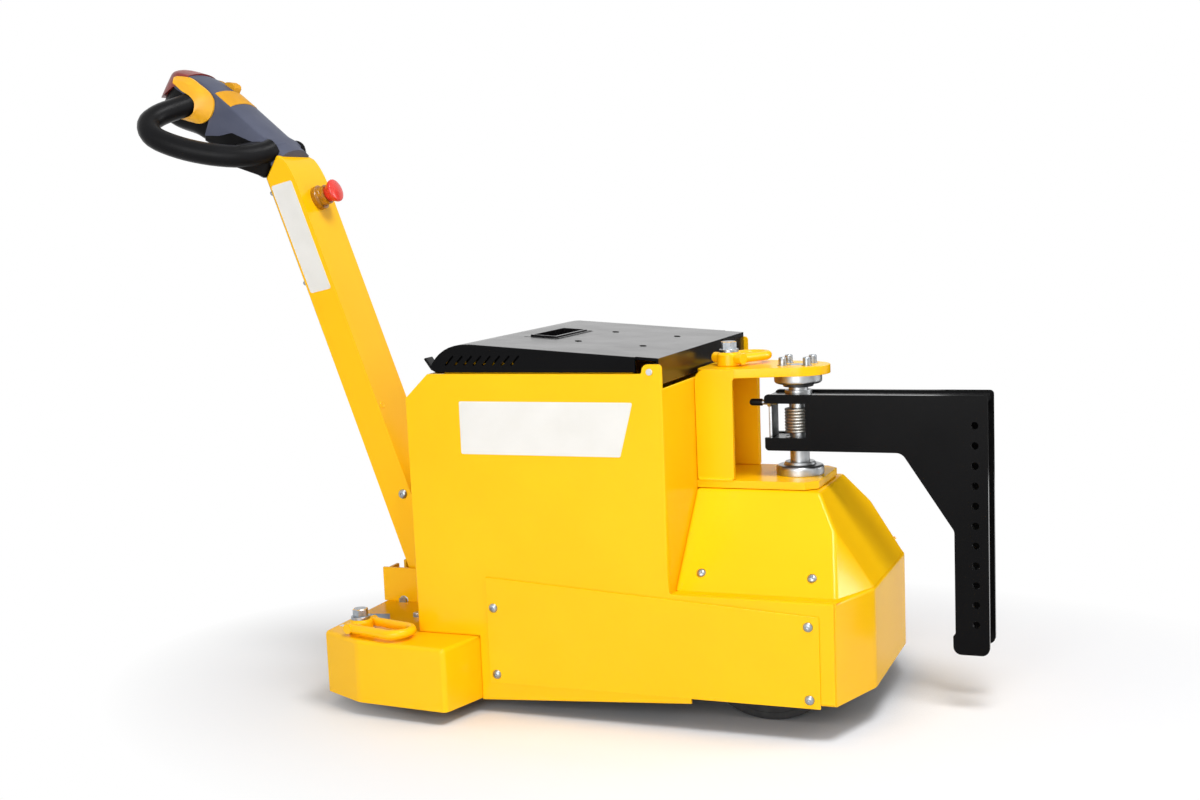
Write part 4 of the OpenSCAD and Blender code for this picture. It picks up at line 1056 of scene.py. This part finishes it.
class TUGGER_OT_wheels(bpy.types.Operator):
    """Grooved tyres, wheel bolts and castor treads."""

    bl_idname = "tugger.wheels"
    bl_label = "Wheels"

    def execute(self, context):
        for side in ("left", "right"):
            self.tyre(side)
            self.bolts(side)
            self.castor(side)
        return {"FINISHED"}

    def tyre(self, side):
        low, high = (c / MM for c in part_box("tyre_" + side))
        middle = (low + high) / 2
        half, radius = (high.y - low.y) / 2, (high.z - low.z) / 2
        inner = 85.0
        groove_deep, groove_wide = 4.0, 5.0
        profile = [(inner, -half), (inner + 8, -half), (inner + 9, -half + 0.8), (radius - 12, -half + 0.8),
                   (radius - 11, -half), (radius - 4, -half), (radius - 1, -half + 1.2), (radius, -half + 4)]
        for place in (-13.0, 0.0, 13.0):
            profile += [(radius, place - groove_wide / 2), (radius - groove_deep, place - groove_wide / 2 + 1),
                        (radius - groove_deep, place + groove_wide / 2 - 1), (radius, place + groove_wide / 2)]
        profile += [(r, -z) for r, z in reversed(profile[:8])]
        mesh = bmesh.new()
        turn = facing(middle, (0, 1, 0))
        skin(mesh, [ring_points(r, z, 0, 96, turn) for r, z in profile], loop=True)
        piece("grooved_tyre_" + side, mesh, "drive_wheel_" + side, TYRE_RUBBER, ("tyre_" + side,), sharp=30)

    def bolts(self, side):
        low, high = (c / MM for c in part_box("hub_" + side))
        middle = (low + high) / 2
        s = 1 if side == "left" else -1
        face = high.y if side == "left" else low.y
        bolt_circle = arc(middle.x, middle.z, 50, 0, 288, 4)
        rows = [Screw("hex", 10, (x, face, z), (0, s, 0)) for x, z in bolt_circle]
        screws("wheel_bolts_" + side, "drive_wheel_" + side, rows)

    def castor(self, side):
        low, high = (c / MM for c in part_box("castor_wheel_" + side))
        middle = (low + high) / 2
        half, radius = (high.y - low.y) / 2, (high.z - low.z) / 2
        mesh = bmesh.new()
        profile = [(0.1, -half), (11, -half), (12, -half + 2), (radius - 10, -half + 2), (radius - 9, -half + 1),
                   (radius - 3, -half + 1), (radius - 0.6, -half + 4), (radius, 0)]
        profile += [(r, -z) for r, z in reversed(profile[:-1])]
        lathe(mesh, profile, 64, facing(middle, (0, 1, 0)))
        piece("castor_tread_" + side, mesh, "castor_roller_" + side, POLYURETHANE,
              ("castor_wheel_" + side,), sharp=30)


class TUGGER_OT_stage(bpy.types.Operator):
    """Pale floor, soft studio light and the camera."""

    bl_idname = "tugger.stage"
    bl_label = "Stage"

    floor_size = (18.0, 18.0)

    def execute(self, context):
        self.stand("studio_floor", self.sheet("studio_floor", self.paper(), self.floor_size), Matrix())
        self.lamps(context.scene.tugger_stage)
        self.cards()
        self.world(context)
        self.camera(context)
        context.scene.view_settings.view_transform = "Standard"
        return {"FINISHED"}

    def stand(self, name, data, lay):
        """Puts a thing of the stage in its place."""
        made = bpy.data.objects.new(name, data)
        bpy.context.scene.collection.objects.link(made)
        made.matrix_world = lay
        return made

    def sheet(self, name, finish, size):
        """A flat rectangle."""
        mesh = bmesh.new()
        bmesh.ops.create_grid(mesh, x_segments=1, y_segments=1, size=0.5)
        bmesh.ops.scale(mesh, vec=(*size, 1), verts=mesh.verts)
        data = bpy.data.meshes.new(name)
        mesh.to_mesh(data)
        mesh.free()
        data.materials.append(finish)
        return data

    def aimed(self, place, target):
        """Frame at a place that looks at a target along its -Z."""
        turn = (Vector(target) - Vector(place)).to_track_quat("-Z", "Y")
        return Matrix.Translation(place) @ turn.to_matrix().to_4x4()

    def paper(self):
        """Matt studio paper: keeps the shadow near the tugger, with painted contact shade from occlusion, and runs out
        to white.
        """
        made, tree, shader = principled("matt_studio_paper_painted_contact_shade", {"Roughness": 0.9, "Specular IOR Level": 0.1})
        # Painted contact shade: ambient occlusion darkens the paper's colour towards grey near and under the tugger
        clear = add(tree, "ShaderNodeAmbientOcclusion", {"Distance": 0.16}, samples=8).outputs["AO"]
        share = add(tree, "ShaderNodeMapRange", {"Value": clear, "From Min": 0.1, "From Max": 0.8}).outputs["Result"]
        shade = add(tree, "ShaderNodeMix", {"Factor": share, 6: linear("#B4B6BA"), 7: linear("#F3F4F7")},
                    data_type="RGBA").outputs[2]
        place = add(tree, "ShaderNodeTexCoord").outputs["Object"]
        grain_mm, depth_mm = 3.0, 0.02
        grain = add(tree, "ShaderNodeTexNoise", {"Vector": place, "Scale": 1 / MM / grain_mm,
                                                 "Detail": 2.0}).outputs["Fac"]
        bump = add(tree, "ShaderNodeBump", {"Height": grain, "Distance": depth_mm * MM, "Strength": 0.3})
        feed(tree, shader, {"Base Color": shade, "Normal": bump.outputs["Normal"]})
        oval = add(tree, "ShaderNodeMapping", {"Vector": place, "Location": (-0.33, 0.0, 0.0),
                                               "Scale": (1.15, 1.7, 1.0)}).outputs["Vector"]
        reach = add(tree, "ShaderNodeVectorMath", {0: oval}, operation="LENGTH").outputs["Value"]
        far = add(tree, "ShaderNodeMapRange", {"Value": reach, "From Min": 0.66, "From Max": 1.25}).outputs["Result"]
        faded = add(tree, "ShaderNodeMath", {0: far, 1: self.seen(tree)}, operation="MULTIPLY").outputs["Value"]
        white = add(tree, "ShaderNodeEmission", {"Color": WHITE, "Strength": 1.0}).outputs["Emission"]
        mixed = add(tree, "ShaderNodeMixShader", {0: faded, 1: shader.outputs["BSDF"], 2: white}).outputs["Shader"]
        feed(tree, tree.nodes["Material Output"], {"Surface": mixed})
        return made

    def seen(self, tree):
        """One for rays that the camera sees, straight, in a gloss or through glass."""
        path = add(tree, "ShaderNodeLightPath")
        both = add(tree, "ShaderNodeMath", {0: path.outputs["Is Camera Ray"], 1: path.outputs["Is Glossy Ray"]},
                   operation="ADD").outputs["Value"]
        return add(tree, "ShaderNodeMath", {0: both, 1: path.outputs["Is Transmission Ray"]}, operation="ADD",
                   use_clamp=True).outputs["Value"]

    def lamps(self, stage):
        """Softboxes: name, power, size, place and target."""
        rows = (
            ("key_softbox", stage.key, (2.0, 2.0), (0.55, -3.3, 1.05), (0.1, 0, 0.35)),
            ("top_softbox", stage.top, (0.9, 0.9), (1.0, -0.5, 2.5), (0.2, 0, 0.2)),
            ("side_softbox", stage.side, (1.6, 2.0), (3.0, -1.8, 1.4), (0.3, 0, 0.5)),
            ("rim_softbox", stage.rim, (1.2, 1.2), (2.5, 1.0, 1.3), (0.5, -0.1, 0.25)),
        )
        for name, power, size, place, target in rows:
            data = bpy.data.lights.new(name, "AREA")
            data.shape = "RECTANGLE"
            data.size, data.size_y = size
            data.energy = power
            self.stand(name, data, self.aimed(place, target))

    def cards(self):
        """Cards that only the gloss sees: a dark one is a painted dark reflection that keeps glare off the slope, a
        lit one a painted highlight on the chamfer.
        """
        rows = (
            ("painted_dark_reflection", finish_of(PAINTED_DARK_REFLECTION), (1.0, 1.3), (0.95, 1.2, 0.78), (0.95, 0, 0.78)),
            ("painted_highlight_card", self.painted_highlight_glow(), (0.4, 0.6), (2.1, 0.83, 0.98), (0.53, -0.15, 0.23)),
        )
        for name, finish, size, place, target in rows:
            made = self.stand(name, self.sheet(name, finish, size), self.aimed(place, target))
            for sight in ("camera", "diffuse", "transmission", "shadow"):
                setattr(made, "visible_" + sight, False)

    def painted_highlight_glow(self):
        """Glow of a card that only the gloss sees: an even white emission, no lamp, that paints a highlight on the
        chamfer.
        """
        made = bpy.data.materials.new("painted_highlight_glow_cloth")
        made.use_nodes = True
        tree = made.node_tree
        tree.nodes.clear()
        # Painted highlight: a white glow that only reflections see
        light = add(tree, "ShaderNodeEmission", {"Color": WHITE, "Strength": 12.0}).outputs["Emission"]
        add(tree, "ShaderNodeOutputMaterial", {"Surface": light})
        return made

    def world(self, context):
        made = bpy.data.worlds.new("white_studio")
        context.scene.world = made
        made.use_nodes = True
        tree = made.node_tree
        tree.nodes.clear()
        fill = add(tree, "ShaderNodeBackground", {"Color": WHITE, "Strength": context.scene.tugger_stage.fill})
        white = add(tree, "ShaderNodeBackground", {"Color": WHITE, "Strength": 1.0})
        mixed = add(tree, "ShaderNodeMixShader", {0: self.seen(tree), 1: fill.outputs["Background"],
                                                  2: white.outputs["Background"]})
        add(tree, "ShaderNodeOutputWorld", {"Surface": mixed.outputs["Shader"]})

    def camera(self, context):
        stage = context.scene.tugger_stage
        place, target = Vector(stage.camera_place), Vector(stage.camera_target)
        ahead = (target - place).normalized()
        right = ahead.cross(Vector((0, 0, 1))).normalized()
        up = right.cross(ahead)
        c, s = math.cos(stage.camera_roll), math.sin(stage.camera_roll)
        x_axis = right * c - up * s
        y_axis = up * c + right * s
        data = bpy.data.cameras.new("photo_camera")
        data.lens = stage.lens
        data.sensor_width = 36.0
        data.dof.use_dof = False
        turn = Matrix((x_axis, y_axis, -ahead)).transposed().to_4x4()
        context.scene.camera = self.stand("photo_camera", data, Matrix.Translation(place) @ turn)


STEPS = (
    TUGGER_OT_frame_finish,
    TUGGER_OT_tiller,
    TUGGER_OT_head,
    TUGGER_OT_fasteners,
    TUGGER_OT_labels,
    TUGGER_OT_lid,
    TUGGER_OT_battery,
    TUGGER_OT_hitch,
    TUGGER_OT_wheels,
    TUGGER_OT_stage,
)


class TUGGER_PT_panel(bpy.types.Panel):
    """Sidebar panel with the tugger's settings and steps."""

    bl_idname = "TUGGER_PT_panel"
    bl_label = "Electric tugger"
    bl_space_type = "VIEW_3D"
    bl_region_type = "UI"
    bl_category = "Tugger"

    def draw(self, context):
        for group in (context.scene.tugger_colours, context.scene.tugger_sizes, context.scene.tugger_stage):
            box = self.layout.box()
            for name in group.bl_rna.properties.keys():
                if name not in ("rna_type", "name"):
                    box.prop(group, name)
        for step in STEPS:
            self.layout.operator(step.bl_idname)


GROUPS = {"tugger_colours": TuggerColours, "tugger_sizes": TuggerSizes, "tugger_stage": TuggerStage}


def register():
    for name, group in GROUPS.items():
        bpy.utils.register_class(group)
        setattr(bpy.types.Scene, name, PointerProperty(type=group))
    for step in STEPS + (TUGGER_PT_panel,):
        bpy.utils.register_class(step)


def unregister():
    for step in STEPS + (TUGGER_PT_panel,):
        bpy.utils.unregister_class(step)
    for name, group in GROUPS.items():
        delattr(bpy.types.Scene, name)
        bpy.utils.unregister_class(group)


def main():
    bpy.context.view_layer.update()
    register()
    for step in STEPS:
        area, name = step.bl_idname.split(".")
        getattr(getattr(bpy.ops, area), name)()


if __name__ == "__main__":
    main()
